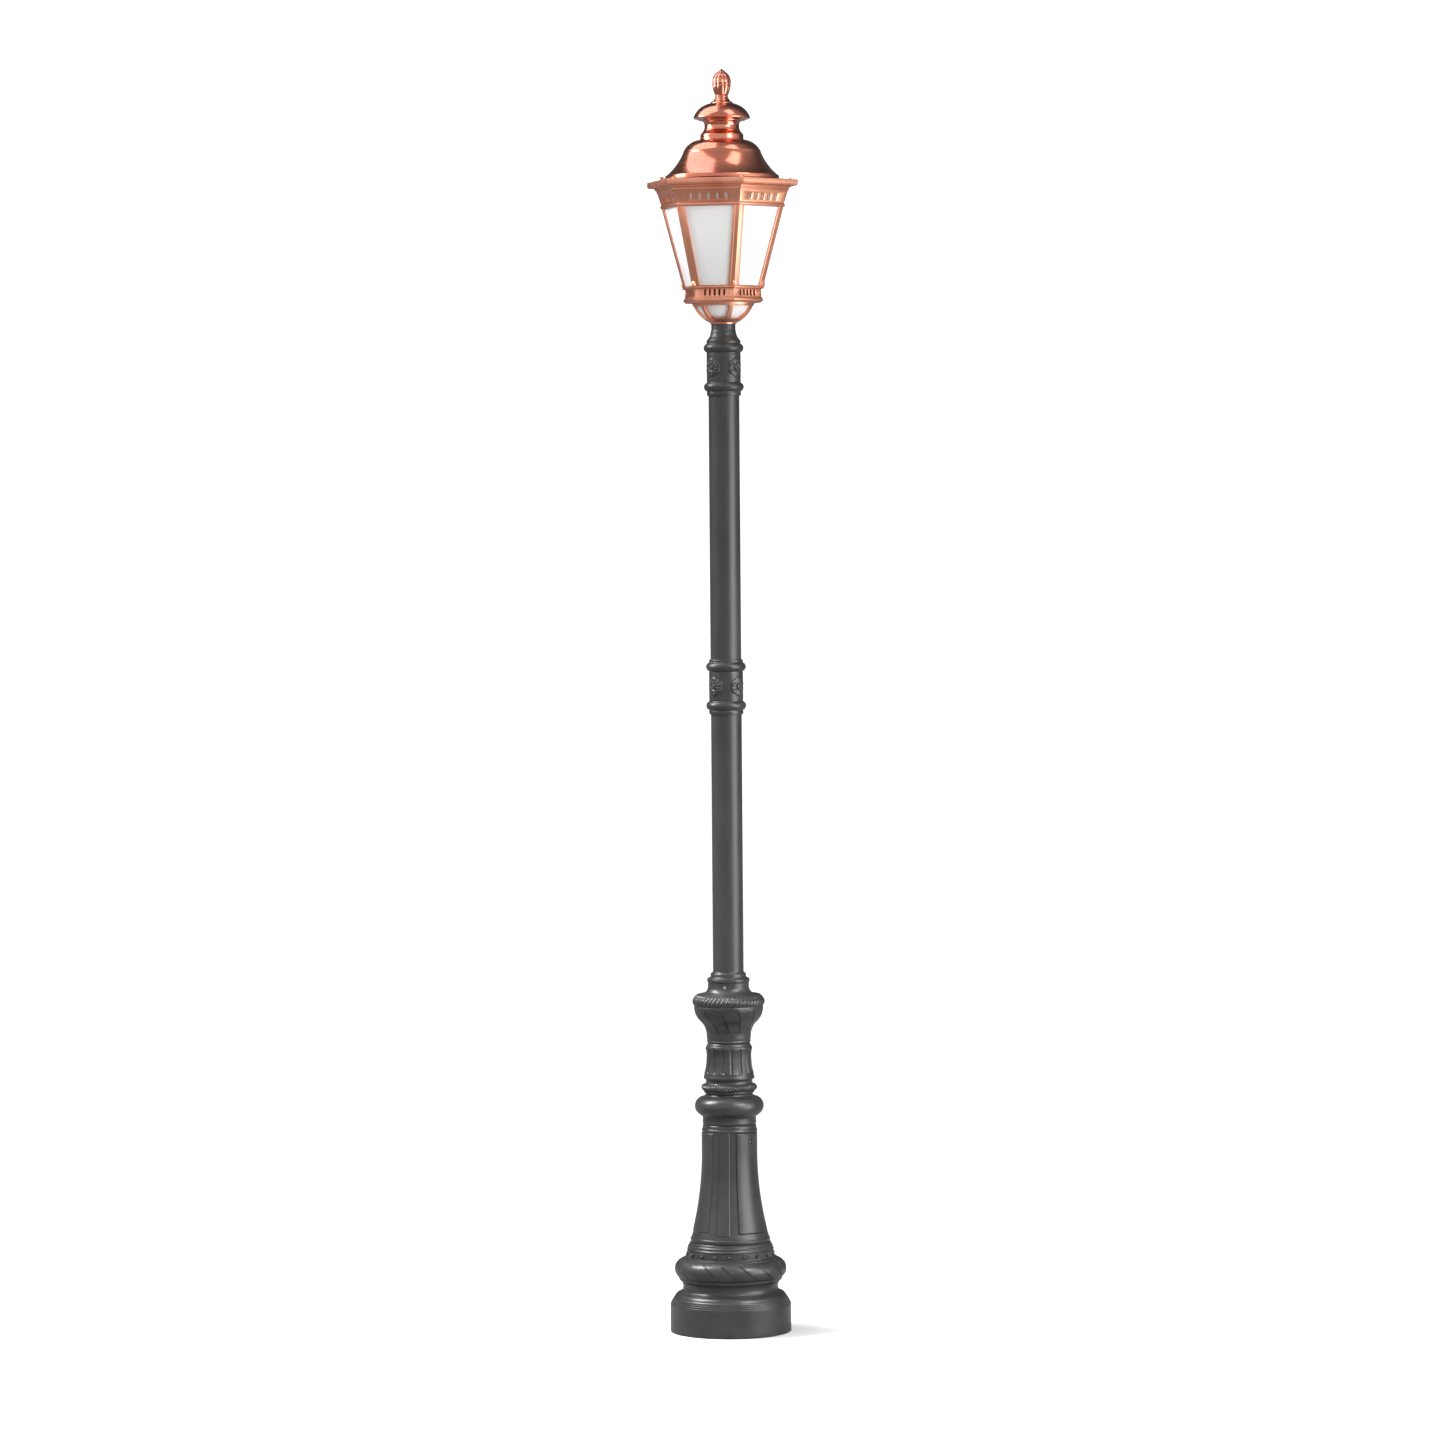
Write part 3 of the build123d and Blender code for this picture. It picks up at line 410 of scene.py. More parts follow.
# ---------------------------------------------------------------- node trees
def add_node(tree, kind, inputs=None, **settings):
    """Adds a node, sets it up, and gives each input a value or a link."""
    node = tree.nodes.new(kind)
    for key, value in settings.items():
        setattr(node, key, value)
    for key, value in (inputs or {}).items():
        if isinstance(value, bpy.types.NodeSocket):
            tree.links.new(value, node.inputs[key])
        else:
            node.inputs[key].default_value = value
    return node


def new_geometry_tree(name, sizes):
    """An empty Geometry Nodes tree with inputs for Geometry, Count, Material and the named sizes."""
    tree = bpy.data.node_groups.new(name, "GeometryNodeTree")
    kinds = {"Geometry": "NodeSocketGeometry", "Count": "NodeSocketInt", "Material": "NodeSocketMaterial"}
    for label, kind in {**kinds, **dict.fromkeys(sizes, "NodeSocketFloat")}.items():
        tree.interface.new_socket(name=label, in_out="INPUT", socket_type=kind)
    tree.interface.new_socket(name="Geometry", in_out="OUTPUT", socket_type="NodeSocketGeometry")
    return tree, add_node(tree, "NodeGroupInput").outputs


def close_tree(tree, given, geometry):
    """Ends a Geometry Nodes tree in real geometry under the given material."""
    real = add_node(tree, "GeometryNodeRealizeInstances", {0: geometry}).outputs[0]
    coated = {"Geometry": real, "Material": given["Material"]}
    finished = add_node(tree, "GeometryNodeSetMaterial", coated).outputs[0]
    add_node(tree, "NodeGroupOutput", {0: finished})
    return tree


def ring_tree():
    """Copies of the modifier's own mesh round the axis. The mesh points along +X."""
    tree, given = new_geometry_tree("ring_of_copies", ["Radius", "Height", "Phase"])
    index = add_node(tree, "GeometryNodeInputIndex").outputs[0]
    share = add_node(tree, "ShaderNodeMath", {0: index, 1: given["Count"]}, operation="DIVIDE").outputs[0]
    turn = {0: share, 1: 2 * pi, 2: given["Phase"]}
    angle = add_node(tree, "ShaderNodeMath", turn, operation="MULTIPLY_ADD").outputs[0]
    across = add_node(tree, "ShaderNodeMath", {0: angle}, operation="COSINE").outputs[0]
    along = add_node(tree, "ShaderNodeMath", {0: angle}, operation="SINE").outputs[0]
    x = add_node(tree, "ShaderNodeMath", {0: across, 1: given["Radius"]}, operation="MULTIPLY").outputs[0]
    y = add_node(tree, "ShaderNodeMath", {0: along, 1: given["Radius"]}, operation="MULTIPLY").outputs[0]
    place = add_node(tree, "ShaderNodeCombineXYZ", {0: x, 1: y, 2: given["Height"]}).outputs[0]
    facing = add_node(tree, "ShaderNodeCombineXYZ", {2: angle}).outputs[0]
    spots = {"Count": given["Count"], "Position": place}
    points = add_node(tree, "GeometryNodePoints", spots).outputs[0]
    copies = {"Points": points, "Instance": given["Geometry"], "Rotation": facing}
    instances = add_node(tree, "GeometryNodeInstanceOnPoints", copies).outputs[0]
    return close_tree(tree, given, instances)


def lobes_tree():
    """Pushes a turned surface out in rounded lobes that twist as they rise, between two heights."""
    sizes = ["Depth", "Twist", "Low", "High", "Phase", "Inner Radius"]
    tree, given = new_geometry_tree("twisted_lobes", sizes)
    position = add_node(tree, "GeometryNodeInputPosition").outputs[0]
    part = add_node(tree, "ShaderNodeSeparateXYZ", {0: position}).outputs
    known = {label: given[label] for label in ["Count", *sizes]}
    known.update(x=part[0], y=part[1], z=part[2])
    sums = {
        "polar": ("ARCTAN2", "y", "x"),
        "angle": ("SUBTRACT", "polar", "Phase"),
        "rise": ("SUBTRACT", "z", "Low"),
        "wound": ("MULTIPLY_ADD", "rise", "Twist", "angle"),
        "half count": ("MULTIPLY", "Count", 0.5),
        "half wave": ("MULTIPLY", "wound", "half count"),
        "wave": ("COSINE", "half wave"),
        "upright wave": ("ABSOLUTE", "wave"),
        "lobe": ("SQRT", "upright wave"),
        "span": ("SUBTRACT", "High", "Low"),
        "share": ("DIVIDE", "rise", "span"),
        "share from 0": ("MAXIMUM", "share", 0),
        "share to 1": ("MINIMUM", "share from 0", 1),
        "half turn": ("MULTIPLY", "share to 1", pi),
        "arch": ("SINE", "half turn"),
        "bell": ("MAXIMUM", "arch", 0),
        "swell": ("POWER", "bell", 0.6),
        "x squared": ("MULTIPLY", "x", "x"),
        "reach squared": ("MULTIPLY_ADD", "y", "y", "x squared"),
        "reach": ("SQRT", "reach squared"),
        "outside": ("GREATER_THAN", "reach", "Inner Radius"),
        "depth": ("MULTIPLY", "outside", "Depth"),
        "lobe swell": ("MULTIPLY", "lobe", "swell"),
        "push": ("MULTIPLY", "lobe swell", "depth"),
    }
    for label, (operation, *terms) in sums.items():
        inputs = {number: known.get(term, term) for number, term in enumerate(terms)}
        known[label] = add_node(tree, "ShaderNodeMath", inputs, operation=operation).outputs[0]
    normal = add_node(tree, "GeometryNodeInputNormal").outputs[0]
    scaled = {0: normal, 3: known["push"]}
    offset = add_node(tree, "ShaderNodeVectorMath", scaled, operation="SCALE").outputs[0]
    moved = {"Geometry": given["Geometry"], "Offset": offset}
    shaped = add_node(tree, "GeometryNodeSetPosition", moved).outputs[0]
    return close_tree(tree, given, shaped)


def ring(mesh, count, look=None, radius=0.0, height=0.0, phase=0.0):
    """A mesh that points along +X, copied round the axis from a phase in degrees."""
    inputs = {"Count": count, "Radius": radius, "Height": height, "Phase": radians(phase)}
    if look:
        inputs["Material"] = look
    return evaluated(mesh, [("NODES", {"node_group": once(ring_tree), "inputs": inputs})])


def lobed(mesh, count, look, depth, low, high, twist=0.0, phase=0.0, inner=0.0):
    """A turned mesh with twisted lobes: depth and twist per metre, heights and inner radius in metres."""
    inputs = {"Count": count, "Depth": depth, "Twist": twist, "Low": low, "High": high}
    inputs.update({"Phase": radians(phase), "Inner Radius": inner, "Material": look})
    return evaluated(mesh, [("NODES", {"node_group": once(lobes_tree), "inputs": inputs})])


# ---------------------------------------------------------------- finishes
def per(size_mm):
    """The scale of a noise whose features are so many millimetres across, on metres."""
    return 1 / (size_mm * MM)


def start_finish(name, patterns, **sockets):
    """A new material with shader inputs set by name, its tree, its shader and its patterns. They are
    noises on Object coordinates with a size in millimetres, drawn out where stretch is under 1."""
    material = bpy.data.materials.new(name)
    material.use_nodes = True
    tree = material.node_tree
    shader = tree.nodes["Principled BSDF"]
    for key, value in sockets.items():
        shader.inputs[key.replace("_", " ")].default_value = value
    place = add_node(tree, "ShaderNodeTexCoord").outputs["Object"]
    made = {"place": place}
    for label, pattern in patterns.items():
        stretch = {"Vector": place, "Scale": pattern.get("stretch", (1, 1, 1))}
        settings = {
            "Vector": add_node(tree, "ShaderNodeMapping", stretch).outputs[0],
            "Scale": per(pattern["size"]),
            "Detail": pattern.get("detail", 3.0),
            "Roughness": pattern.get("rough", 0.5),
        }
        made[label] = add_node(tree, "ShaderNodeTexNoise", settings).outputs[0]
    return material, tree, shader, made


def tint(tree, shader, factor, low, high, start=0.3, end=0.7):
    """Colours the shader from low to high as the factor goes from start to end."""
    share = {"Value": factor, "From Min": start, "From Max": end}
    eased = add_node(tree, "ShaderNodeMapRange", share, interpolation_type="SMOOTHSTEP").outputs[0]
    both = {0: eased, 6: (*low, 1), 7: (*high, 1)}
    mixed = add_node(tree, "ShaderNodeMix", both, data_type="RGBA").outputs[2]
    tree.links.new(mixed, shader.inputs["Base Color"])
    return mixed


def vary_roughness(tree, shader, factor, low, high):
    """Lets the shader's roughness follow a noise."""
    share = {"Value": factor, "From Min": 0.3, "From Max": 0.7, "To Min": low, "To Max": high}
    value = add_node(tree, "ShaderNodeMapRange", share).outputs[0]
    tree.links.new(value, shader.inputs["Roughness"])


def emboss(tree, shader, *layers):
    """Bumps the surface with (height, depth in millimetres) layers."""
    normal = None
    for height, depth in layers:
        inputs = {"Height": height, "Distance": depth * MM, "Strength": 1.0}
        if normal:
            inputs["Normal"] = normal
        normal = add_node(tree, "ShaderNodeBump", inputs).outputs[0]
    tree.links.new(normal, shader.inputs["Normal"])


def colours():
    return bpy.context.scene.lamp_post_colours


def surface(name, low, high, roughness, patterns, bumps, gloss="tone", **sockets):
    """A material that its tone pattern colours from low to high, with its roughness between two values
    by its gloss pattern, and bumped by patterns to a depth in millimetres."""
    material, tree, shader, made = start_finish(name, patterns, **sockets)
    low, high = (linear(shade) if isinstance(shade, str) else shade for shade in (low, high))
    tint(tree, shader, made["tone"], low, high)
    vary_roughness(tree, shader, made[gloss], *roughness)
    emboss(tree, shader, *[(made[label], depth) for label, depth in bumps.items()])
    return material


def cast_iron_coat():
    # Sand-cast iron under graphite polyester powder: satin, with the sand's soft grain showing
    # through and an orange peel that breaks up every long highlight.
    patterns = {
        "tone": {"size": 55},
        "peel": {"size": 2.4, "detail": 1.0},
        "grain": {"size": 7, "detail": 2.0},
    }
    coat = colours().coat, colours().coat_light
    bumps = {"grain": 0.1, "peel": 0.04}
    return surface("powder_coated_cast_iron", *coat, (0.29, 0.35), patterns, bumps)


def steel_tube_coat():
    # Drawn steel tube under the same powder: smoother than the castings, with faint draw lines.
    patterns = {"tone": {"size": 70, "stretch": (1, 1, 0.3)}, "peel": {"size": 2.2, "detail": 1.0}}
    coat = colours().coat, colours().coat_light
    return surface("powder_coated_steel_tube", *coat, (0.32, 0.4), patterns, {"peel": 0.04})


def copper_shader(name, roughness, anisotropic, stretch, size_mm, deep, bright, lacquer):
    """Copper under a gloss lacquer, with streaks drawn out by stretch, and its base colour painted in broad
    upright bands between deep and bright that stand in for reflections.
    """
    patterns = {
        "streaks": {"size": size_mm, "stretch": stretch, "detail": 4.0, "rough": 0.65},
        "painted_reflection_bands": {"size": 120, "stretch": (1, 1, 0.2), "detail": 1.0},
    }
    sockets = {"Metallic": 1.0, "Coat_Weight": lacquer, "Coat_Roughness": 0.14, "Coat_IOR": 1.95}
    material, tree, shader, made = start_finish(name, patterns, Anisotropic=anisotropic, **sockets)
    # Painted reflection: broad upright bands at random places turn the base colour from deep red, standing
    # in for dim reflections, to peach, standing in for highlights; the fine streaks are the metal's own
    # marks.
    doubled = {0: made["painted_reflection_bands"], 1: 2.0, 2: made["streaks"]}
    both = add_node(tree, "ShaderNodeMath", doubled, operation="MULTIPLY_ADD").outputs[0]
    tint(tree, shader, both, deep, bright, 1.25, 1.75)
    vary_roughness(tree, shader, made["streaks"], roughness - 0.05, roughness + 0.08)
    emboss(tree, shader, (made["streaks"], 0.02))
    return material, tree, shader


def spun_copper():
    # Copper sheet spun over a former and lacquered: fine rings round the axis stretch each highlight
    # up the slope. Its base colour is painted from deep red to peach in broad bands, a painted reflection.
    material, tree, shader = copper_shader(
        "spun_copper", 0.18, 0.5, (0.03, 0.03, 1), 1.6, colours().copper_deep, colours().copper, 1.0
    )
    around_axis = add_node(tree, "ShaderNodeTangent", direction_type="RADIAL", axis="Z").outputs[0]
    tree.links.new(around_axis, shader.inputs["Tangent"])
    return material


def brushed_copper():
    # Copper sheet and bar brushed by hand along its length, then lacquered: softer than the dome.
    # Its base colour is painted in the same broad bands of highlight and dim reflection as the dome.
    deep, bright = colours().copper_frame_deep, colours().copper_frame
    return copper_shader("brushed_copper", 0.38, 0.0, (1, 1, 0.05), 2.2, deep, bright, 0.3)[0]


def copper_plate():
    # Screws and nuts plated to match: small, brighter, with a little grime round them.
    # Their base colour is painted in the same broad bands of highlight and dim reflection.
    deep, bright = colours().copper_frame_deep, colours().copper_frame
    return copper_shader("copper_plated_screws", 0.3, 0.0, (1, 1, 1), 3, deep, bright, 0.3)[0]


def opal_acrylic():
    # Cast opal acrylic: milky through and through, with a soft gloss and faint waves from casting.
    patterns = {"tone": {"size": 70, "detail": 0.5}, "waves": {"size": 25, "detail": 1.0}}
    opal = Vector(colours().opal)
    milk = {"IOR": 1.49, "Subsurface_Weight": 0.3, "Subsurface_Radius": (0.006, 0.006, 0.006)}
    return surface("opal_acrylic", opal * 0.985, opal, (0.28, 0.31), patterns, {"waves": 0.03}, **milk)


def galvanised_steel():
    # Hot-dip galvanised steel: dull zinc with pale and dark spangles a few millimetres across.
    material, tree, shader, made = start_finish("galvanised_steel", {"grain": {"size": 3}}, Metallic=0.9)
    spangle = {"Vector": made["place"], "Scale": per(7)}
    cells = add_node(tree, "ShaderNodeTexVoronoi", spangle).outputs["Color"]
    tone = add_node(tree, "ShaderNodeSeparateXYZ", {0: cells}).outputs[0]
    tint(tree, shader, tone, linear("7E8184"), linear("A9ACAE"), 0, 1)
    vary_roughness(tree, shader, tone, 0.38, 0.55)
    emboss(tree, shader, (made["grain"], 0.03))
    return material


def turned_metal(name, low, high, roughness, size_mm):
    """A bright metal with fine marks left by turning."""
    patterns = {"tone": {"size": size_mm, "stretch": (0.3, 0.3, 1)}}
    return surface(name, low, high, roughness, patterns, {"tone": 0.01}, Metallic=1.0)


def stainless_steel():
    # Turned and ground stainless steel: bright, with very fine rings.
    return turned_metal("turned_stainless_steel", "A7A8AA", "C6C7C8", (0.2, 0.34), 0.8)


def brass():
    # Turned brass: warm yellow metal with fine tool marks.
    return turned_metal("turned_brass", "B08A3E", "D9B766", (0.22, 0.36), 0.9)


def cast_aluminium():
    # Pressure-cast aluminium: pale grey metal with a fine frosted grain.
    frost = {"tone": {"size": 1.4}}
    return surface("cast_aluminium", "A9ABAD", "C2C4C6", (0.42, 0.58), frost, {"tone": 0.04}, Metallic=1.0)


def moulded(name, low, high, roughness, grain_mm):
    """A moulded plastic or rubber with its mould's grain."""
    patterns = {"tone": {"size": 30}, "grain": {"size": grain_mm, "detail": 2.0}}
    return surface(name, low, high, roughness, patterns, {"grain": 0.03}, gloss="grain")


def black_rubber():
    # Extruded EPDM: matt black with a dusty bloom.
    return moulded("epdm_rubber", "0F0F10", "1B1B1C", (0.75, 0.9), 1.2)


def grey_moulding():
    # Pressed phenolic board and housing: mid grey, matt, with a spark-eroded texture.
    return moulded("grey_phenolic_moulding", "6B6E70", "7A7D80", (0.5, 0.65), 1.0)


def black_moulding():
    # Moulded black phenolic: darker and glossier than the rubber.
    return moulded("black_phenolic_moulding", "161617", "222224", (0.3, 0.45), 1.0)


def led_board():
    # White solder mask on an aluminium board: slightly uneven gloss over the copper tracks.
    return moulded("white_solder_mask", "D9D9D5", "E9E9E6", (0.25, 0.4), 2.5)


def clear_lens():
    # Clear polycarbonate lens: transparent, with faint flow lines.
    flow = {"tone": {"size": 20, "stretch": (1, 1, 0.4)}}
    clear = {"IOR": 1.585, "Transmission_Weight": 0.9}
    return surface("clear_polycarbonate", "ECEEEE", "F8F9F9", (0.06, 0.14), flow, {"tone": 0.02}, **clear)


FINISH_OF_SLOT = {
    "galvanised_steel": galvanised_steel,
    "graphite_coat": cast_iron_coat,
    "copper": brushed_copper,
    "copper_screws": copper_plate,
    "stainless_steel": stainless_steel,
    "opal_glass": opal_acrylic,
    "cast_aluminium": cast_aluminium,
    "black_rubber": black_rubber,
    "grey_moulding": grey_moulding,
    "black_moulding": black_moulding,
    "brass": brass,
    "led_board": led_board,
    "clear_lens": clear_lens,
}
built = {}


def once(builder):
    """The material or node tree that a function builds, built once."""
    if builder not in built:
        built[builder] = builder()
    return built[builder]


def finish_for(node):
    """The finish of a CAD node's material slot."""
    return once(FINISH_OF_SLOT[SLOT_OF[node]])


# ---------------------------------------------------------------- shapes shared by several operators
# Millimetres, and degrees for the spans of the door and of the lip round its opening.
TORUS_BULGE = 18
SHAFT_FOOT_R, SHAFT_NECK_R, SHAFT_HOLLOW = 110.5, 80.9, 8.4  # the pedestal's pilasters, on their face
SHAFT_LOW, SHAFT_NECK, SHAFT_HIGH = 287, 540, 582  # their heights over the ground
TUBE_R, TUBE_BORE_R, COLLAR_BORE_R = 44.45, 40.85, 44.75
PANEL_SINK = 2
DOOR_SPAN, DOOR_T, LIP_SPAN, LIP_SINK = 69, 5, 62, 5


def shaft_outline(sink):
    """Outline of the pedestal's curved shaft, a depth below its pilasters' face."""
    base = foot("pedestal") / MM
    return [
        (SHAFT_FOOT_R - sink, SHAFT_LOW - base),
        (SHAFT_NECK_R - sink, SHAFT_NECK - base, -SHAFT_HOLLOW),
        (SHAFT_NECK_R - sink, SHAFT_HIGH - base),
    ]


def crowded(values, edges, spread, count=6):
    """Sorted values with more of them close to each edge."""
    near = [edge + step for edge in edges for step in np.linspace(-spread, spread, 2 * count + 1)]
    both = np.unique(np.round(np.concatenate([values, near]), 4))
    return both


def refilled(skin, heights):
    """An outline with extra points at given heights."""
    every = np.unique(np.round(np.concatenate([skin[:, 1], heights]), 4))
    return np.column_stack([np.interp(every, skin[:, 1], skin[:, 0]), every])


def domed_head(name, radius, proud):
    """A low domed screw head that points along +X, its underside buried a little."""
    outline = [(radius, -0.6), (radius, 0.35 * proud), (0.02, proud, 0.3 * proud)]
    mesh = turned(name, outline, [(0.02, -0.6)], 0, segments=24, soft=0.4, fine=0.1, turn=14)
    mesh.transform(Matrix.Rotation(pi / 2, 4, "Y"))
    return mesh


def slot_row(name, count, pitch, wide, long, inner, outer, height):
    """A row of upright slots with round ends that points along +X, as one cutter. It runs from the
    inner radius to the outer, with its middle at a height; all are in millimetres."""
    half = long / 2 - wide / 2
    rim = [
        (wide / 2 * cos(radians(a)), (half if 0 < a < 180 else -half) + wide / 2 * sin(radians(a)))
        for a in (*range(15, 180, 15), *range(195, 360, 15))
    ]
    cutters = []
    for step in range(count):
        shift = (step - (count - 1) / 2) * pitch
        slot = prism(name, [(y + shift, z) for y, z in rim], inner, outer)
        slot.transform(Matrix(((0, 0, 1, 0), (1, 0, 0, 0), (0, 1, 0, height * MM), (0, 0, 0, 1))))
        cutters.append(slot)
    return joined(name, cutters)


# ---------------------------------------------------------------- operators: base and post
class LAMPPOST_OT_foot(bpy.types.Operator):
    """Plinth, ribboned torus and pearl band at the foot of the post"""

    bl_idname = "lamppost.foot"
    bl_label = "Foot Mouldings"

    def execute(self, context):
        sizes = context.scene.lamp_post_sizes
        coat = once(cast_iron_coat)
        outside = [
            (173.6, 0), (175, 1.4, 0.4), (175, 81), (174.4, 82.6),
            (172.4, 83),  # shoulder in three thin steps
            (172.4, 86.8), (171.8, 88), (169.2, 88.4), (169.2, 92.2), (168.6, 93.4), (166.2, 94),
            (166.2, 97.4), (165.2, 99.2), (163, 101), (153, 113, 1.5), (139.6, 122, -1.5),
            (148.6, 151, -5.5),  # hollow under the torus
            (150, 154), (150, 158),
        ]
        inside = [(140, 158), (129, 142), (129, 124), (145, 104), (165, 80), (165, 0)]
        add_turned("foot_plinth", "plinth", outside, inside, coat, segments=192, soft=0.9)

        tall = height_of("ribbon_torus")
        slant = 0.42  # degrees that a ribbon turns for each millimetre it climbs
        groove, band = 2.2, 4.8  # width of each line, and distance between a ribbon's two lines
        around_it = radians(1) * 140  # millimetres round the torus for each degree

        def ribbons(angle, height):
            across = apart(angle + slant * height, sizes.ribbons, RIBBONS) * around_it
            fade = ease(height / 8) * ease((tall - height) / 8)
            lines = ridge(across - band / 2, groove) + ridge(across + band / 2, groove)
            return fade * (0.5 * ridge(across, band) - 2.0 * lines)

        outside = [(150, 0), (138, tall, TORUS_BULGE)]
        inside = [(127, tall), (127, 0)]
        middles = RIBBONS + np.arange(sizes.ribbons) * 360 / sizes.ribbons
        lines = np.concatenate([middles - band / 2 / around_it, middles + band / 2 / around_it])
        columns = np.unique(crowded(np.arange(0, 360, 1.5), lines, groove / 2 / around_it, 4) % 360)
        options = {"angles": columns, "slant": slant, "relief": ribbons, "turn": 4, "reach": 3}
        add_turned("ribboned_torus", "ribbon_torus", outside, inside, coat, **options)

        pearl_height, pearl_row = 15, 125

        def dimples(angle, height):
            away = apart(angle, sizes.pearls, PEARLS) * radians(1) * pearl_row
            return -2.4 * ridge(np.hypot(away, height - pearl_height), 18)

        outside = [
            (136, 0), (136, 3), (125, 5), (125, 24.5), (123, 26), (124, 31, 2.4), (122, 35),
            (120.5, 40, 1.8), (118.5, 43), (115.5, 47, 1.6), (112.7, 50),
        ]
        inside = [(104, 50), (104, 38), (116, 18), (116, 0)]
        options = {"segments": 540, "relief": dimples, "reach": 2}
        add_turned("pearl_band_moulding", "pearl_band", outside, inside, coat, **options)

        work = bmesh.new()
        bmesh.ops.create_uvsphere(work, u_segments=16, v_segments=10, radius=sizes.pearl_radius)
        place = {"radius": pearl_row * MM, "height": foot("pearl_band") + pearl_height * MM}
        pearls = ring(taken("pearl", work), sizes.pearls, coat, phase=PEARLS, **place)
        add_piece("pearls", pearls, coat)
        return {"FINISHED"}


class LAMPPOST_OT_pedestal(bpy.types.Operator):
    """Panelled pedestal with three pilasters, and the service door in one of its panels"""

    bl_idname = "lamppost.pedestal"
    bl_label = "Pedestal and Door"

    def execute(self, context):
        coat = once(cast_iron_coat)
        base = foot("pedestal")
        door_low, door_high = (corner.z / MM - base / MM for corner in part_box("service_door"))
        shaft_low, shaft_high = SHAFT_LOW - base / MM, SHAFT_HIGH - base / MM
        lip_low, lip_high = door_low + 7, door_high - 7
        rebate = DOOR_SPAN / 2 + 0.9  # half the rebate's width, degrees
        pilaster = 9.5  # half a pilaster's width, degrees
        wall, top_bore = 10, 70.9  # thickness at a pilaster, and radius of the hole at the top

        def edge_fall(distance, width):
            """1 well inside an edge and 0 outside it; distance and width in millimetres."""
            return ease(distance / width + 0.5)

        def relief(angle, height, radius):
            arc = radians(1) * radius
            from_pilaster = (pilaster + 0.8 - abs(apart(angle, 3, PILASTERS))) * arc
            in_shaft = edge_fall(height - shaft_low, 1.6) * edge_fall(shaft_high - height, 1.6)
            raised = PANEL_SINK * edge_fall(from_pilaster, 2.4) * in_shaft
            crease = 0.7 * ridge(from_pilaster + 2.0, 1.6) * in_shaft
            panel = apart(angle, 3, DOOR)
            side = (DOOR_SPAN / 2 - abs(panel)) * arc
            level = np.minimum(height - door_low, door_high - height)
            inside = np.minimum(side, level)
            is_door = abs((angle - DOOR + 180) % 360 - 180) < 60
            fixed = PANEL_SINK * edge_fall(inside - 1.4, 2.4) - 0.9 * ridge(inside + 0.4, 2)
            sunk_side = (rebate - abs(panel)) * arc
            sunk_level = np.minimum(height - door_low + 1.5, door_high + 1.5 - height)
            pocket = -LIP_SINK * edge_fall(np.minimum(sunk_side, sunk_level), 0.3)
            return raised - crease + np.where(is_door, pocket, fixed)

        outside = [
            (112.7, 0), (113.6, 1.2, 0.3), (115.3, 5, 0.5), (115.3, 9.5), (114, 11.5, 0.5),
            (112, 15, -0.8), (111.2, 18), (109.6, 21), *shaft_outline(PANEL_SINK),
            (79.8, shaft_high + 1.5), (80.2, shaft_high + 5, 0.6), (79, shaft_high + 8),
            (77.4, shaft_high + 10, -0.5), (77.6, shaft_high + 14), (74.7, height_of("pedestal"), 1),
        ]
        skin = traced(outside, reach=9, soft=1.2, turn=8)
        door_edges = [door_low, door_high, door_low - 1.5, door_high + 1.5, shaft_low, shaft_high]
        heights = crowded(np.arange(shaft_low, shaft_high, 10), door_edges, 2.4, 3)
        skin = refilled(skin, np.concatenate([heights, [lip_low, lip_high]]))
        edges = [PILASTERS + 120 * k + side * (pilaster + 1.2) for k in range(3) for side in (-1, 1)]
        edges += [DOOR + 120 * k + side * (DOOR_SPAN / 2 - 0.4) for k in range(3) for side in (-1, 1)]
        mouth = [DOOR - LIP_SPAN / 2, DOOR + LIP_SPAN / 2, DOOR - rebate, DOOR + rebate]
        every = np.concatenate([crowded(np.arange(0, 360, 3.6), edges, 2.4, 6), mouth])
        angles = np.unique(np.round(every % 360, 4))
        lift = relief(angles[:, None], skin[None, :, 1], skin[None, :, 0])
        thickness = np.minimum(wall - PANEL_SINK, skin[:, 0] - top_bore)

        def is_wall(angle, height):
            turned_away = abs((angle - DOOR + 180) % 360 - 180) > LIP_SPAN / 2
            return turned_away | (height < lip_low) | (height > lip_high)

        mesh = pierced_wall("panelled_pedestal", angles, skin, thickness, lift, is_wall, base)
        add_piece("panelled_pedestal", mesh, coat, ["pedestal"])

        face = traced(shaft_outline(0), reach=6)
        face = refilled(face, crowded(np.array([door_low, door_high]), [door_low, door_high], 3.6, 9))
        face = face[(face[:, 1] >= door_low - 1e-6) & (face[:, 1] <= door_high + 1e-6)]
        span = DOOR + np.linspace(-DOOR_SPAN / 2, DOOR_SPAN / 2, 40)
        half = DOOR_SPAN / 2
        span = crowded(span, [DOOR - half, DOOR + half], 2.4, 9)
        span = span[(span >= DOOR - half - 1e-6) & (span <= DOOR + half + 1e-6)]
        side = (half - abs(span - DOOR))[:, None] * radians(1) * face[None, :, 0]
        level = np.minimum(face[:, 1] - door_low, door_high - face[:, 1])[None, :]
        inside = np.minimum(side, level)
        lift = -1.2 * (1 - edge_fall(inside - 1.2, 2.4))

        def all_solid(angle, height):
            return np.ones(np.broadcast(angle, height).shape, bool)

        mesh = pierced_wall("door_panel", span, face, DOOR_T, lift, all_solid, base, closed=False)
        lock_hole = bore(9, 60, 100, middle_of("lock_barrel"), DOOR, 64)
        add_piece("door_panel", carved(mesh, lock_hole), coat, ["service_door"], body="service_door")
        return {"FINISHED"}


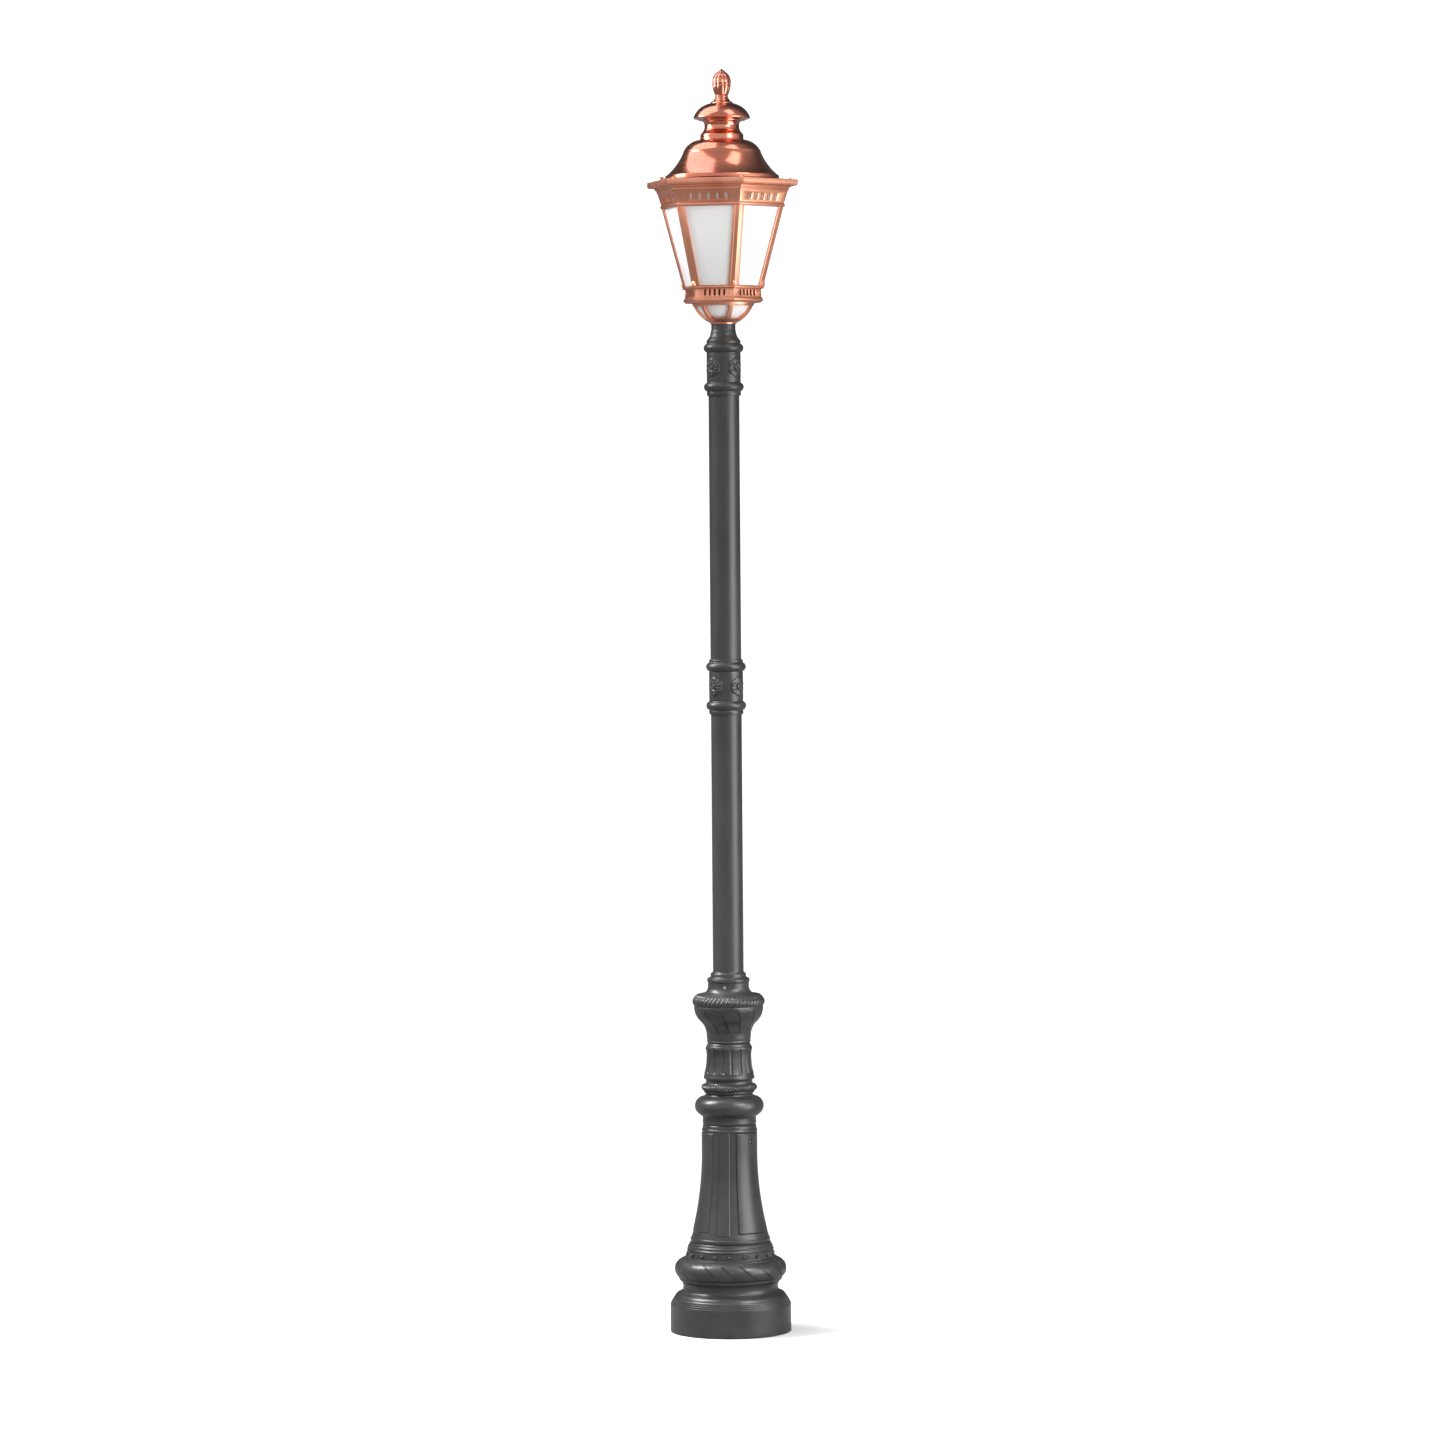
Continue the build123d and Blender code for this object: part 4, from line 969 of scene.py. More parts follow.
class LAMPPOST_OT_column(bpy.types.Operator):
    """Knop, bead ring, fluted drum, gadrooned vase and shaft socket"""

    bl_idname = "lamppost.column"
    bl_label = "Column Mouldings"

    def execute(self, context):
        sizes = context.scene.lamp_post_sizes
        coat = once(cast_iron_coat)
        outside = [
            (74.7, 0), (77, 2.5, 0.4), (77.6, 6), (77, 9, 0.3), (77, 20), (81, 25, -0.8), (85, 27.5),
            (86, 29), (74, 81, 19.5), (67.5, 88, -1),
        ]
        inside = [(60, 88), (60, 50), (70.6, 38), (70.6, 0)]
        add_turned("knop_moulding", "knop_torus", outside, inside, coat, segments=192, reach=6)

        low = foot("bead_ring")
        outside = [
            (67.5, 0), (71, 3, -0.4), (73, 6.5, 0.6), (71.6, 9), (72, 10), (71.6, 28, 6.2),
            (69.4, 30.5), (67.6, 34.5, -0.8), (66.9, 39), (69.3, 43),
        ]
        plain = turned("rope_ring", outside, [(58, 43), (58, 0)], low, segments=780, reach=1.6, turn=7)
        twist = 13.0  # radians a bead leans for each metre it climbs
        bead = {"low": low + 0.0095, "high": low + 0.0285, "twist": twist, "inner": 0.066}
        mesh = lobed(plain, sizes.beads, coat, 0.003, **bead)
        add_piece("rope_ring", mesh, coat, ["bead_ring"])

        flute_low, flute_high, flute_width = 17, 92, 10.5

        def flutes(angle, height):
            across = apart(angle, sizes.flutes, FLUTES) * radians(1) * 68
            below = np.minimum(height - flute_low - flute_width / 2, 0)
            away = np.hypot(across, below)
            scoop = np.clip(1 - (2 * away / flute_width) ** 2, 0, 1)
            lip = ridge(away - flute_width / 2 - 0.9, 2.4)
            return ease((flute_high - height) / 4) * (0.5 * lip - 2.3 * scoop)

        outside = [
            (69.3, 0), (72.2, 1, 0.2), (73.5, 3.5, 0.5), (73.5, 7), (72.6, 9), (71.5, 17, -0.4),
            (65, 53, -1.5), (65.6, 84, -1), (66.4, 85.5), (67.2, 90, 0.9), (66.4, 95),
            (63.6, 98, -0.5), (59.9, 105, 1),
        ]
        inside = [(52, 105), (52, 0)]
        options = {"segments": 480, "relief": flutes, "reach": 2}
        add_turned("fluted_column_drum", "fluted_drum", outside, inside, coat, **options)

        low = foot("vase")
        lines_low, lines_high, turning = 20, 110, 0.22  # heights of the lines, degrees per millimetre

        def gadroons(angle, height):
            wound = angle + turning * (height - lines_low)
            away = apart(wound, sizes.gadroons, GADROONS)
            width = np.interp(height, [20, 60, 110], [66, 82, 101]) * radians(1)
            fade = ease((height - lines_low) / 14) * ease((lines_high - height) / 14)
            pillow = np.cos(radians(180) * away / (360 / sizes.gadroons)) ** 2
            return fade * (1.1 * pillow - 2.4 * ridge(away * width, 3.2))

        outside = [
            (59.9, 0), (62.4, 2, 0.4), (63.4, 5.5, 0.5), (62.2, 8.5), (63.6, 12), (64, 30, 0.3),
            (83, 64, -3.5),  # flare
            (100.4, 105, 4.4), (99.2, 108.5), (100.6, 112, 0.6),
            (96.5, 129, 2.4), (84, 140, 2.6), (81, 142),  # lobed rim
            (66.6, 147, -1.4),
        ]
        inside = [(52, 147), (52, 137), (86, 124), (90, 110), (72, 64), (54, 30), (52, 0)]
        lines = GADROONS + turning * lines_low + np.arange(sizes.gadroons) * 360 / sizes.gadroons
        columns = np.unique(crowded(np.arange(0, 360, 0.9), lines, 1.4, 4) % 360)
        options = {"angles": columns, "slant": turning, "relief": gadroons, "reach": 2.2, "turn": 5}
        plain = turned("gadrooned_vase", outside, inside, low, **options)
        rim = {"low": low + 0.1095, "high": low + 0.1425, "twist": -6.0, "inner": 0.0815}
        mesh = lobed(plain, sizes.rim_lobes, coat, 0.0042, **rim)
        add_piece("gadrooned_vase", mesh, coat, ["vase"])

        outside = [
            (66.6, 0), (59.5, 17, -2), (59.5, 28), (60.7, 30.5), (61.4, 33, 0.4), (61.2, 37),
            (60.2, 39.5, 0.5), (54.5, 42, 0.6), (51.6, 45, -0.5), (51.4, 51), (49.5, 55, 0.6),
            (45.6, 59, -0.8),
        ]
        inside = [(COLLAR_BORE_R, 59), (COLLAR_BORE_R, 0)]
        mesh = turned("shaft_socket", outside, inside, foot("socket_collar"), segments=160, reach=6)
        screws, level = welded("socket_screws"), middle_of("socket_screws")
        bores = [bore(5.1, 40, 80, level, PILASTERS + 120 * k, 40) for k in range(3)]
        mesh = carved(mesh, joined("bores", bores))
        add_piece("shaft_socket", mesh, coat, ["socket_collar"])
        steel = finish_for("socket_screws")
        add_piece("shaft_set_screws", bevelled(screws, 0.0004), steel, ["socket_screws"])
        return {"FINISHED"}


class LAMPPOST_OT_shaft(bpy.types.Operator):
    """Lower and upper tube, rosette collars and lantern spigot"""

    bl_idname = "lamppost.shaft"
    bl_label = "Shaft and Collars"

    def execute(self, context):
        iron, steel = once(cast_iron_coat), once(steel_tube_coat)
        for node, name in (("lower_tube", "lower_shaft"), ("upper_tube", "upper_shaft")):
            tall = height_of(node)
            outside = [(TUBE_R, 0), (TUBE_R, tall)]
            inside = [(TUBE_BORE_R, tall), (TUBE_BORE_R, 0)]
            add_turned(name, node, outside, inside, steel, segments=128, reach=60)

        for node, name in (("mid_collar", "ringed_collar_mid"), ("top_collar", "ringed_collar_top")):
            tall = height_of(node)
            ring_top = [(49.1, tall - 1), (48.3, tall)] if node == "mid_collar" else [(49.1, tall)]
            outside = [
                (48.3, 0), (49.3, 1, 0.2), (49.3, 9), (48.7, 11), (49.1, 12.5), (49.1, 37.5, 8.4),
                (48.7, 39), (49.1, 41), (49.1, 121), (48.7, 123), (49.1, 124.5), (49.1, 149.5, 8.4),
                (48.7, 151), (49.1, 152.5), *ring_top,
            ]
            inside = [(COLLAR_BORE_R, tall), (COLLAR_BORE_R, 0)]
            add_turned(name, node, outside, inside, iron, segments=144, reach=10)

        for node, name in (("mid_rosettes", "collar_rosettes_mid"), ("top_rosettes", "collar_rosettes_top")):
            mesh = ring(rosette(), 4, iron, height=middle_of(node), phase=ROSETTES)
            add_piece(name, mesh, iron, [node])

        outside = [
            (40.6, 0), (40.6, 43), (49.1, 43), (48.8, 45.5, 0.4), (46.6, 49, -0.5), (37, 70, -2.6),
            (34.9, 78, -0.6), (34.9, 93), (30.15, 93), (30.15, 128),
        ]
        inside = [(22, 128), (22, 0)]
        add_turned("lantern_spigot", "spigot", outside, inside, iron, segments=128, soft=1.0)
        return {"FINISHED"}


def rosette():
    """One rosette with six dimpled petals and a domed button, wrapped on the collar at +X."""
    barrel, reach, rings, spokes = 49.1, 28.5, 30, 96
    share = np.linspace(0, 1, rings)[1:, None]
    turn = (np.arange(spokes) * 2 * pi / spokes)[None, :]
    petal_turn = 3 * (turn - pi / 2)
    petal = np.abs(np.cos(petal_turn))
    outline = reach * (0.86 + 0.14 * np.sqrt(petal))
    rho = outline * share
    leaf = 0.5 + 0.5 * np.cos(2 * petal_turn)
    dimple = np.hypot(rho * np.sin((petal_turn + pi / 2) % pi - pi / 2) * 0.55, rho - 17.5)
    height = 3.4 * np.sqrt(np.clip(1 - share**6, 0, 1))
    height = height + 1.5 * np.exp(-(((rho - 17) / 8) ** 2)) * leaf - 3.0 * np.exp(-((dimple / 3.1) ** 2))
    height = height - 1.6 * np.exp(-(((rho - 9.2) / 1.6) ** 2))
    height = height + 3.2 * np.sqrt(np.clip(1 - (rho / 8) ** 2, 0, 1))
    height = np.minimum(np.where(share >= 1, -1.0, height), 5.8)
    across, up = rho * np.cos(turn), rho * np.sin(turn)
    top = around(np.degrees(across / barrel), barrel + height, up).reshape(-1, 3)
    crown = np.array([[(barrel + 5.8) * MM, 0, 0]])
    hub = np.array([[(barrel - 1) * MM, 0, 0]])
    points = np.concatenate([crown, top, hub])
    count, faces = rings - 1, []
    for k in range(spokes):
        n = (k + 1) % spokes
        faces.append((0, 1 + k, 1 + n))
        faces.append((len(points) - 1, 1 + (count - 1) * spokes + n, 1 + (count - 1) * spokes + k))
        for i in range(count - 1):
            a, b = 1 + i * spokes, 1 + (i + 1) * spokes
            faces.append((a + k, b + k, b + n, a + n))
    mesh = bpy.data.meshes.new("rosette")
    mesh.from_pydata(points.tolist(), [], faces)
    return mesh


# ---------------------------------------------------------------- operators: lantern
class LAMPPOST_OT_bowl(bpy.types.Operator):
    """Ribbed bowl cage, opal bowl and lantern socket"""

    bl_idname = "lamppost.bowl"
    bl_label = "Lantern Bowl"

    def execute(self, context):
        edge = context.scene.lamp_post_sizes.edge
        mesh = bevelled(welded("bowl_cage"), edge)
        add_piece("ribbed_bowl_cage", mesh, once(brushed_copper), ["bowl_cage"], crease=SHEET)
        add_piece("opal_bowl", welded("bowl_glass"), once(opal_acrylic), ["bowl_glass"])
        mesh = bevelled(welded("lantern_socket"), edge)
        add_piece("spigot_socket", mesh, finish_for("lantern_socket"), ["lantern_socket"])
        return {"FINISHED"}


class LAMPPOST_OT_gallery(bpy.types.Operator):
    """Slotted gallery with its screws, and the six corner posts with their foot nuts"""

    bl_idname = "lamppost.gallery"
    bl_label = "Gallery and Corner Posts"

    def execute(self, context):
        edge = context.scene.lamp_post_sizes.edge
        copper, plate = once(brushed_copper), once(copper_plate)
        base, tall = foot("gallery"), height_of("gallery")
        outside = [
            (0.01, 0), (111, 0), (113, 0.8), (117.2, 4, -0.8), (118.4, 7.5, 0.9), (117.8, 11, 0.5),
            (116, 12.2), (115.6, 14.5), (113.6, 17, -0.6), (112.4, 37), (113.6, 38.6),
            (119.6, 40.4, -0.5), (121.8, 42.6, 0.7), (121, 44.8, 0.4), (119, 45.6), (119, tall),
            (0.01, tall),
        ]
        solid = turned("slotted_gallery", outside, [], base, reach=60, soft=0.7, **SIX_SIDED)
        cavity, hole = drum(106, 4, 60, base), drum(87, -5, 8, base, 96)
        slots = ring(slot_row("gallery_slots", 5, 14, 6.5, 19, 84, 112, base / MM + 27.5), 6, phase=FRONT)
        mesh = bevelled(carved(solid, cavity, hole, slots), edge)
        add_piece("slotted_gallery", mesh, copper, ["gallery"], crease=SHEET)

        face, spread = 112.6 * COS30 * MM, 47 * MM  # how far out, and to each side, the screws stand
        pair = []
        for side in (-1, 1):
            head = domed_head("gallery_screw", 3, 2.0)
            head.transform(Matrix.Translation((face, side * spread, middle_of("gallery_screws"))))
            pair.append(head)
        screws = ring(joined("screw_pair", pair), 6, plate, phase=FRONT)
        add_piece("gallery_face_screws", screws, plate, ["gallery_screws"])

        posts = ring(self.corner_post(), 6, phase=FRONT + 30)
        add_piece("lantern_corner_posts", bevelled(posts, edge), copper, ["corner_posts"], crease=SHEET)
        outside = [(4.2, 0), (4.2, 2.2), (3.6, 2.8), (3.3, 4.2, 0.3), (0.02, 6.8, 1.2)]
        options = {"segments": 18, "soft": 0.3, "fine": 0.1, "turn": 15}
        nut = turned("acorn_nut", outside, [(0.02, 0)], 0, **options)
        place = {"radius": 0.117, "height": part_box("gallery")[1].z + 0.0128, "phase": FRONT + 30}
        nuts = ring(nut, 6, plate, **place)
        add_piece("foot_acorn_nuts", nuts, plate, ["foot_nuts"])
        return {"FINISHED"}

    def corner_post(self):
        """A leaning angle bar at +X with a bead along each flange, and its cast foot."""
        flange, thick, bead = 18.5, 3, 0.9
        low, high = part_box("corner_posts")
        out, along = (COS30, 0.5), (-0.5, COS30)
        steps = [(0, 0), (11.6, 0), (12.4, bead), (17.4, bead), (flange, 0.2), (flange, -thick)]
        half = [(s * along[0] + lift * out[0], s * along[1] + lift * out[1]) for s, lift in steps]
        inner = [(-thick / COS30, 0)]
        section = half + inner + [(x, -y) for x, y in reversed(half[1:])]
        ends = ((119.7, low.z / MM), (180.8, high.z / MM))  # corner radius and height of each end
        bar = lofted("corner_bar", *([(corner + x, y, z) for x, y in section] for corner, z in ends))
        foot_corners = [(110, -6), (122.6, -5), (122.6, 5), (110, 6)]
        foot_block = prism("corner_foot", foot_corners, low.z / MM, low.z / MM + 13)
        return joined("corner_post", [bar, foot_block])


class LAMPPOST_OT_panes(bpy.types.Operator):
    """Six opal panes"""

    bl_idname = "lamppost.panes"
    bl_label = "Opal Panes"

    def execute(self, context):
        pane = welded("pane_1")
        pane.transform(Matrix.Rotation(radians(-FRONT), 4, "Z"))
        opal = once(opal_acrylic)
        panes = ring(bevelled(pane, 0.0005), 6, opal, phase=FRONT)
        add_piece("opal_panes", panes, opal, [f"pane_{k}" for k in range(1, 7)], crease=SHEET)
        return {"FINISHED"}


class LAMPPOST_OT_cornice(bpy.types.Operator):
    """Slotted frieze and moulded cornice with its screws"""

    bl_idname = "lamppost.cornice"
    bl_label = "Frieze and Cornice"

    def execute(self, context):
        edge = context.scene.lamp_post_sizes.edge
        copper, plate = once(brushed_copper), once(copper_plate)
        base, tall = foot("frieze"), height_of("frieze")
        outside = [
            (180, 0), (183.4, 0.8, 0.3), (185.2, 4.5, 0.8), (184.4, 8.6, 0.4), (182.2, 10.2, -0.3),
            (183, 12.4), (194.4, 45.6), (196.2, 46.6), (196.6, 49, 0.5), (196.4, tall),
        ]
        inside = [(192, tall), (174, 0)]
        wall = turned("slotted_frieze", outside, inside, base, reach=80, soft=0.7, **SIX_SIDED)
        row = slot_row("frieze_slots", 5, 26, 8, 20, 140, 185, base / MM + 26)
        mesh = bevelled(carved(wall, ring(row, 6, phase=FRONT)), edge)
        add_piece("slotted_frieze", mesh, copper, ["frieze"], crease=SHEET)

        face, back = [(176.2, 11), (186.4, 41)], [(184.4, 41), (174.2, 11)]
        behind = turned("frieze_liner", face, back, base, segments=6)
        add_piece("frieze_liner", behind, once(opal_acrylic), crease=SHEET)

        base, tall = foot("cornice"), height_of("cornice")
        outside = [
            (0.01, 0), (197, 0), (199.4, 0.6), (200.6, 2.4, 0.5), (201.4, 4.2),
            (216, 7.6, -2.2),  # cove
            (220.6, 8.4), (221.4, 10.2, 0.4), (222.4, 11), (224, 12), (224, 23.6), (223, tall, 0.3),
            (0.01, tall),
        ]
        solid = turned("moulded_cornice", outside, [], base, reach=80, soft=0.6, **SIX_SIDED)
        cavity = drum(190, 3, tall - 3, base)
        lower_hole, upper_hole = drum(135, -5, 8, base, 128), drum(140, tall - 8, tall + 5, base, 128)
        mesh = bevelled(carved(solid, cavity, lower_hole, upper_hole), edge)
        add_piece("moulded_cornice", mesh, copper, ["cornice"], crease=SHEET)

        outside = [(4, -0.5), (4, 2.6), (0.02, 5.4, 0.9)]
        options = {"segments": 24, "soft": 0.4, "fine": 0.1, "turn": 14}
        head = turned("deck_screw", outside, [(0.02, -0.5)], 0, **options)
        place = {"radius": 0.201, "height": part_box("cornice")[1].z, "phase": FRONT + 30}
        add_piece("deck_screws", ring(head, 6, plate, **place), plate, ["cornice_screws"])
        return {"FINISHED"}


class LAMPPOST_OT_roof(bpy.types.Operator):
    """Spun dome, chimney, chimney cap and finial"""

    bl_idname = "lamppost.roof"
    bl_label = "Roof"

    def execute(self, context):
        sizes = context.scene.lamp_post_sizes
        copper = once(spun_copper)
        outside = [
            (157, 0), (162.6, 0), (163.8, 2, 0.5), (163.8, 9.4), (162.4, 11.6, 0.6), (160, 13, -0.4),
            (112.5, 77, -4.7), (108, 87, 0.8), (66, 114, 6),
        ]
        inside = [(56, 114), (56, 112), (65, 112), (88, 103), (102, 91), (110.5, 76), (125, 49), (157, 12)]
        mesh = turned("spun_dome", outside, inside, foot("dome"), segments=224, reach=6)
        low = foot("dome") / MM
        keeper = prism("keeper", [(161, -6), (172, -6), (172, 6), (161, 6)], low, low + 3)
        keeper.transform(Matrix.Rotation(radians(FRONT - 60), 4, "Z"))
        dome = joined("spun_dome", [mesh, bevelled(keeper, sizes.edge)])
        add_piece("spun_dome", dome, copper, ["dome"], body="roof")

        outside = [
            (62, 0), (62.8, 1.5, 0.4), (62, 4), (62, 13), (61, 16, 0.5), (59, 19), (49.6, 40, -2.5),
            (52, 50, -0.6), (56.4, 54, -0.6), (57, 56),
        ]
        inside = [(46, 56), (46, 0)]
        mesh = turned("spun_chimney", outside, inside, foot("chimney"), segments=160, reach=5)
        bar_low = foot("chimney") / MM + 19
        bar = prism("stud_bar", [(-47, -7), (47, -7), (47, 7), (-47, 7)], bar_low, bar_low + 6)
        chimney = joined("spun_chimney", [mesh, bevelled(bar, sizes.edge)])
        add_piece("spun_chimney", chimney, copper, ["chimney"], body="roof")

        outside = [
            (48, 0), (66.4, 0), (79.6, 5, -0.8), (81.2, 7, 0.5), (81.4, 9.5), (44, 46, 5.9),
            (40, 47.6), (34, 49),
        ]
        inside = [(4.05, 49), (4.05, 46), (42, 43.5), (64, 29), (77.5, 8), (66, 3), (48, 3)]
        options = {"segments": 192, "reach": 5, "soft": 1.2}
        mesh = turned("spun_chimney_cap", outside, inside, foot("chimney_cap"), **options)
        add_piece("spun_chimney_cap", mesh, copper, ["chimney_cap"], body="roof")

        base = foot("finial")
        outside = [
            (32.3, 0), (31.6, 2.4, 0.4), (28, 5.6, 0.4), (21.5, 13, -1.2), (17.4, 18, -0.4),
            (18.2, 20, 0.4), (17.1, 23), (23.6, 54, 1.6), (17.8, 83, 2.8), (7, 94, -0.5),
            (0.01, 99, 0.6),
        ]
        inside = [(0.01, 24), (4, 24), (4, 0)]
        plain = turned("bud_finial", outside, inside, base, segments=240, reach=2, soft=1.2)
        bud = {"low": base + 0.023, "high": base + 0.096, "phase": 8, "inner": 0.0055}
        mesh = lobed(plain, sizes.petals, copper, 0.0028, **bud)
        add_piece("bud_finial", mesh, copper, ["finial"], body="roof")
        return {"FINISHED"}


class LAMPPOST_OT_gear(bpy.types.Operator):
    """Everything inside: base plate, inner tubes, cut-out, cable, stem, light source, hinge and locks"""

    bl_idname = "lamppost.gear"
    bl_label = "Inner Gear and Fittings"

    def execute(self, context):
        edge = context.scene.lamp_post_sizes.edge
        shown = [n for n, node in frame["nodes"].items() if not node.hide_render]
        for node in sorted(shown):
            body = frame["nodes"][node]["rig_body"]
            mesh = bevelled(welded(node), edge / 2)
            look = once(cast_iron_coat) if node == "lock_barrel" else finish_for(node)
            add_piece(f"{node}_finished", mesh, look, [node], body=body, crease=SHEET)

        tray = foot("led_tray")
        chip = prism("led_chip", [(-1.5, -1.5), (1.5, -1.5), (1.5, 1.5), (-1.5, 1.5)], -0.8, 0)
        chips = []
        for radius, count in ((40, 12), (53, 16), (66, 20)):
            place = {"radius": radius * MM, "height": tray - 0.0016, "phase": 360 / count / 2}
            chips.append(ring(chip, count, once(brass), **place))
        add_piece("led_chips", joined("led_chips", chips), once(brass))
        return {"FINISHED"}


# ---------------------------------------------------------------- operator: stage
class LAMPPOST_OT_stage(bpy.types.Operator):
    """Pale floor, soft studio light and camera"""

    bl_idname = "lamppost.stage"
    bl_label = "Stage"

    def execute(self, context):
        scene = context.scene
        scene.view_settings.view_transform = "Standard"
        self.floor()
        self.surroundings(scene)
        self.sky_light()
        for name, settings in self.softboxes.items():
            self.softbox(name, *settings)
        self.camera(scene)
        return {"FINISHED"}

    view_turn = 14.3  # the camera stands this many degrees to the right of the lantern's front
    # Degrees to the camera's right, height, distance, width, tallness, radiance, the height that it
    # is aimed at or its own if that is less, and the spread of its beam.
    softboxes = {
        "right_softbox": (62, 1.5, 4.2, 2.8, 3.4, 5.0, 2.2, 180),
        "right_top_softbox": (52, 8.0, 2.6, 2.0, 2.4, 2.2, 2.2, 180),
        "left_top_softbox": (-100, 8.0, 3.6, 5.0, 6.0, 2.0, 2.2, 180),
        "left_low_softbox": (-92, 2.6, 2.0, 1.1, 1.2, 4.5, 0.35, 80),
        "right_low_softbox": (45, 2.7, 2.5, 1.4, 0.8, 3.5, 0.35, 80),
        "left_high_softbox": (-92, 3.9, 2.2, 1.0, 1.2, 4.0, 3.0, 110),
        "right_high_softbox": (42, 4.0, 2.6, 1.2, 0.8, 2.2, 3.0, 110),
    }

    def floor(self):
        """A wide pale floor with a faint unevenness."""
        mesh = bpy.data.meshes.new("studio_floor")
        reach = 60
        corners = [(-reach, -reach, 0), (reach, -reach, 0), (reach, reach, 0), (-reach, reach, 0)]
        mesh.from_pydata(corners, [], [(0, 1, 2, 3)])
        material, tree, shader, made = start_finish("pale_floor", {"shade": {"size": 900}}, Roughness=0.8)
        pale = Vector(colours().floor)
        mixed = tint(tree, shader, made["shade"], pale * 0.99, pale)
        seen = add_node(tree, "ShaderNodeLightPath").outputs["Is Camera Ray"]
        dim = {0: seen, 6: (0.24, 0.24, 0.24, 1), 7: mixed}
        either = add_node(tree, "ShaderNodeMix", dim, data_type="RGBA").outputs[2]
        tree.links.new(either, shader.inputs["Base Color"])
        spot = {0: made["place"]}
        away = add_node(tree, "ShaderNodeVectorMath", spot, operation="LENGTH").outputs["Value"]
        share = {"Value": away, "From Min": 1.0, "From Max": 9.0, "To Min": 0.0, "To Max": 0.3}
        far = add_node(tree, "ShaderNodeMapRange", share).outputs[0]
        glow = add_node(tree, "ShaderNodeMath", {0: seen, 1: far}, operation="MULTIPLY").outputs[0]
        tree.links.new(glow, shader.inputs["Emission Strength"])
        mesh.materials.append(material)
        floor = bpy.data.objects.new("studio_floor", mesh)
        bpy.context.scene.collection.objects.link(floor)

    def surroundings(self, scene):
        """A plain studio: dim for light and reflections, white where the camera looks past the post."""
        world = bpy.data.worlds.new("studio")
        world.use_nodes = True
        tree = world.node_tree
        tree.nodes.clear()
        way = add_node(tree, "ShaderNodeTexCoord").outputs["Generated"]
        turn = radians(self.view_turn)
        front = {0: way, 1: (sin(turn), -cos(turn), 0)}
        facing = add_node(tree, "ShaderNodeVectorMath", front, operation="DOT_PRODUCT").outputs["Value"]
        share = {"Value": facing, "From Min": -0.7, "From Max": 0.5, "To Min": 0.08, "To Max": 0.92}
        level = add_node(tree, "ShaderNodeMapRange", share, interpolation_type="SMOOTHSTEP").outputs[0]
        up = add_node(tree, "ShaderNodeSeparateXYZ", {0: way}).outputs["Z"]
        share = {"Value": up, "From Min": 0.3, "From Max": 0.8, "To Min": 1.0, "To Max": 0.6}
        dimmed = add_node(tree, "ShaderNodeMapRange", share, interpolation_type="SMOOTHSTEP").outputs[0]
        level = add_node(tree, "ShaderNodeMath", {0: level, 1: dimmed}, operation="MULTIPLY").outputs[0]
        plain = {"Color": (1, 1, 1, 1)}
        dim = add_node(tree, "ShaderNodeBackground", {**plain, "Strength": level}).outputs[0]
        white = add_node(tree, "ShaderNodeBackground", {**plain, "Strength": 1.2}).outputs[0]
        seen = add_node(tree, "ShaderNodeLightPath").outputs["Is Camera Ray"]
        mixed = add_node(tree, "ShaderNodeMixShader", {0: seen, 1: dim, 2: white}).outputs[0]
        add_node(tree, "ShaderNodeOutputWorld", {"Surface": mixed})
        scene.world = world

    def sky_light(self):
        """A wide, even light from the upper left, which throws a soft shadow to the right."""
        light = bpy.data.lights.new("sky_light", "SUN")
        light.energy, light.angle = 3.0, radians(36)
        lamp = bpy.data.objects.new("sky_light", light)
        turn, up = radians(self.view_turn - 98), radians(50)
        toward = Vector((sin(turn) * cos(up), -cos(turn) * cos(up), sin(up)))
        lamp.matrix_world = toward.to_track_quat("Z", "Y").to_matrix().to_4x4()
        lamp.visible_glossy = False
        bpy.context.scene.collection.objects.link(lamp)

    def softbox(self, name, side, height, distance, wide, tall, radiance, aim, spread):
        """A soft rectangle of light, so many degrees to the camera's right, aimed at the post."""
        light = bpy.data.lights.new(name, "AREA")
        light.shape = "RECTANGLE"
        light.size, light.size_y = wide, tall
        light.energy = radiance * pi * wide * tall
        light.spread = radians(spread)
        lamp = bpy.data.objects.new(name, light)
        turn = radians(self.view_turn + side)
        place = Vector((distance * sin(turn), -distance * cos(turn), height))
        facing = (place - Vector((0, 0, min(height, aim)))).to_track_quat("Z", "Y")
        lamp.matrix_world = Matrix.Translation(place) @ facing.to_matrix().to_4x4()
        lamp.visible_camera = False
        bpy.context.scene.collection.objects.link(lamp)

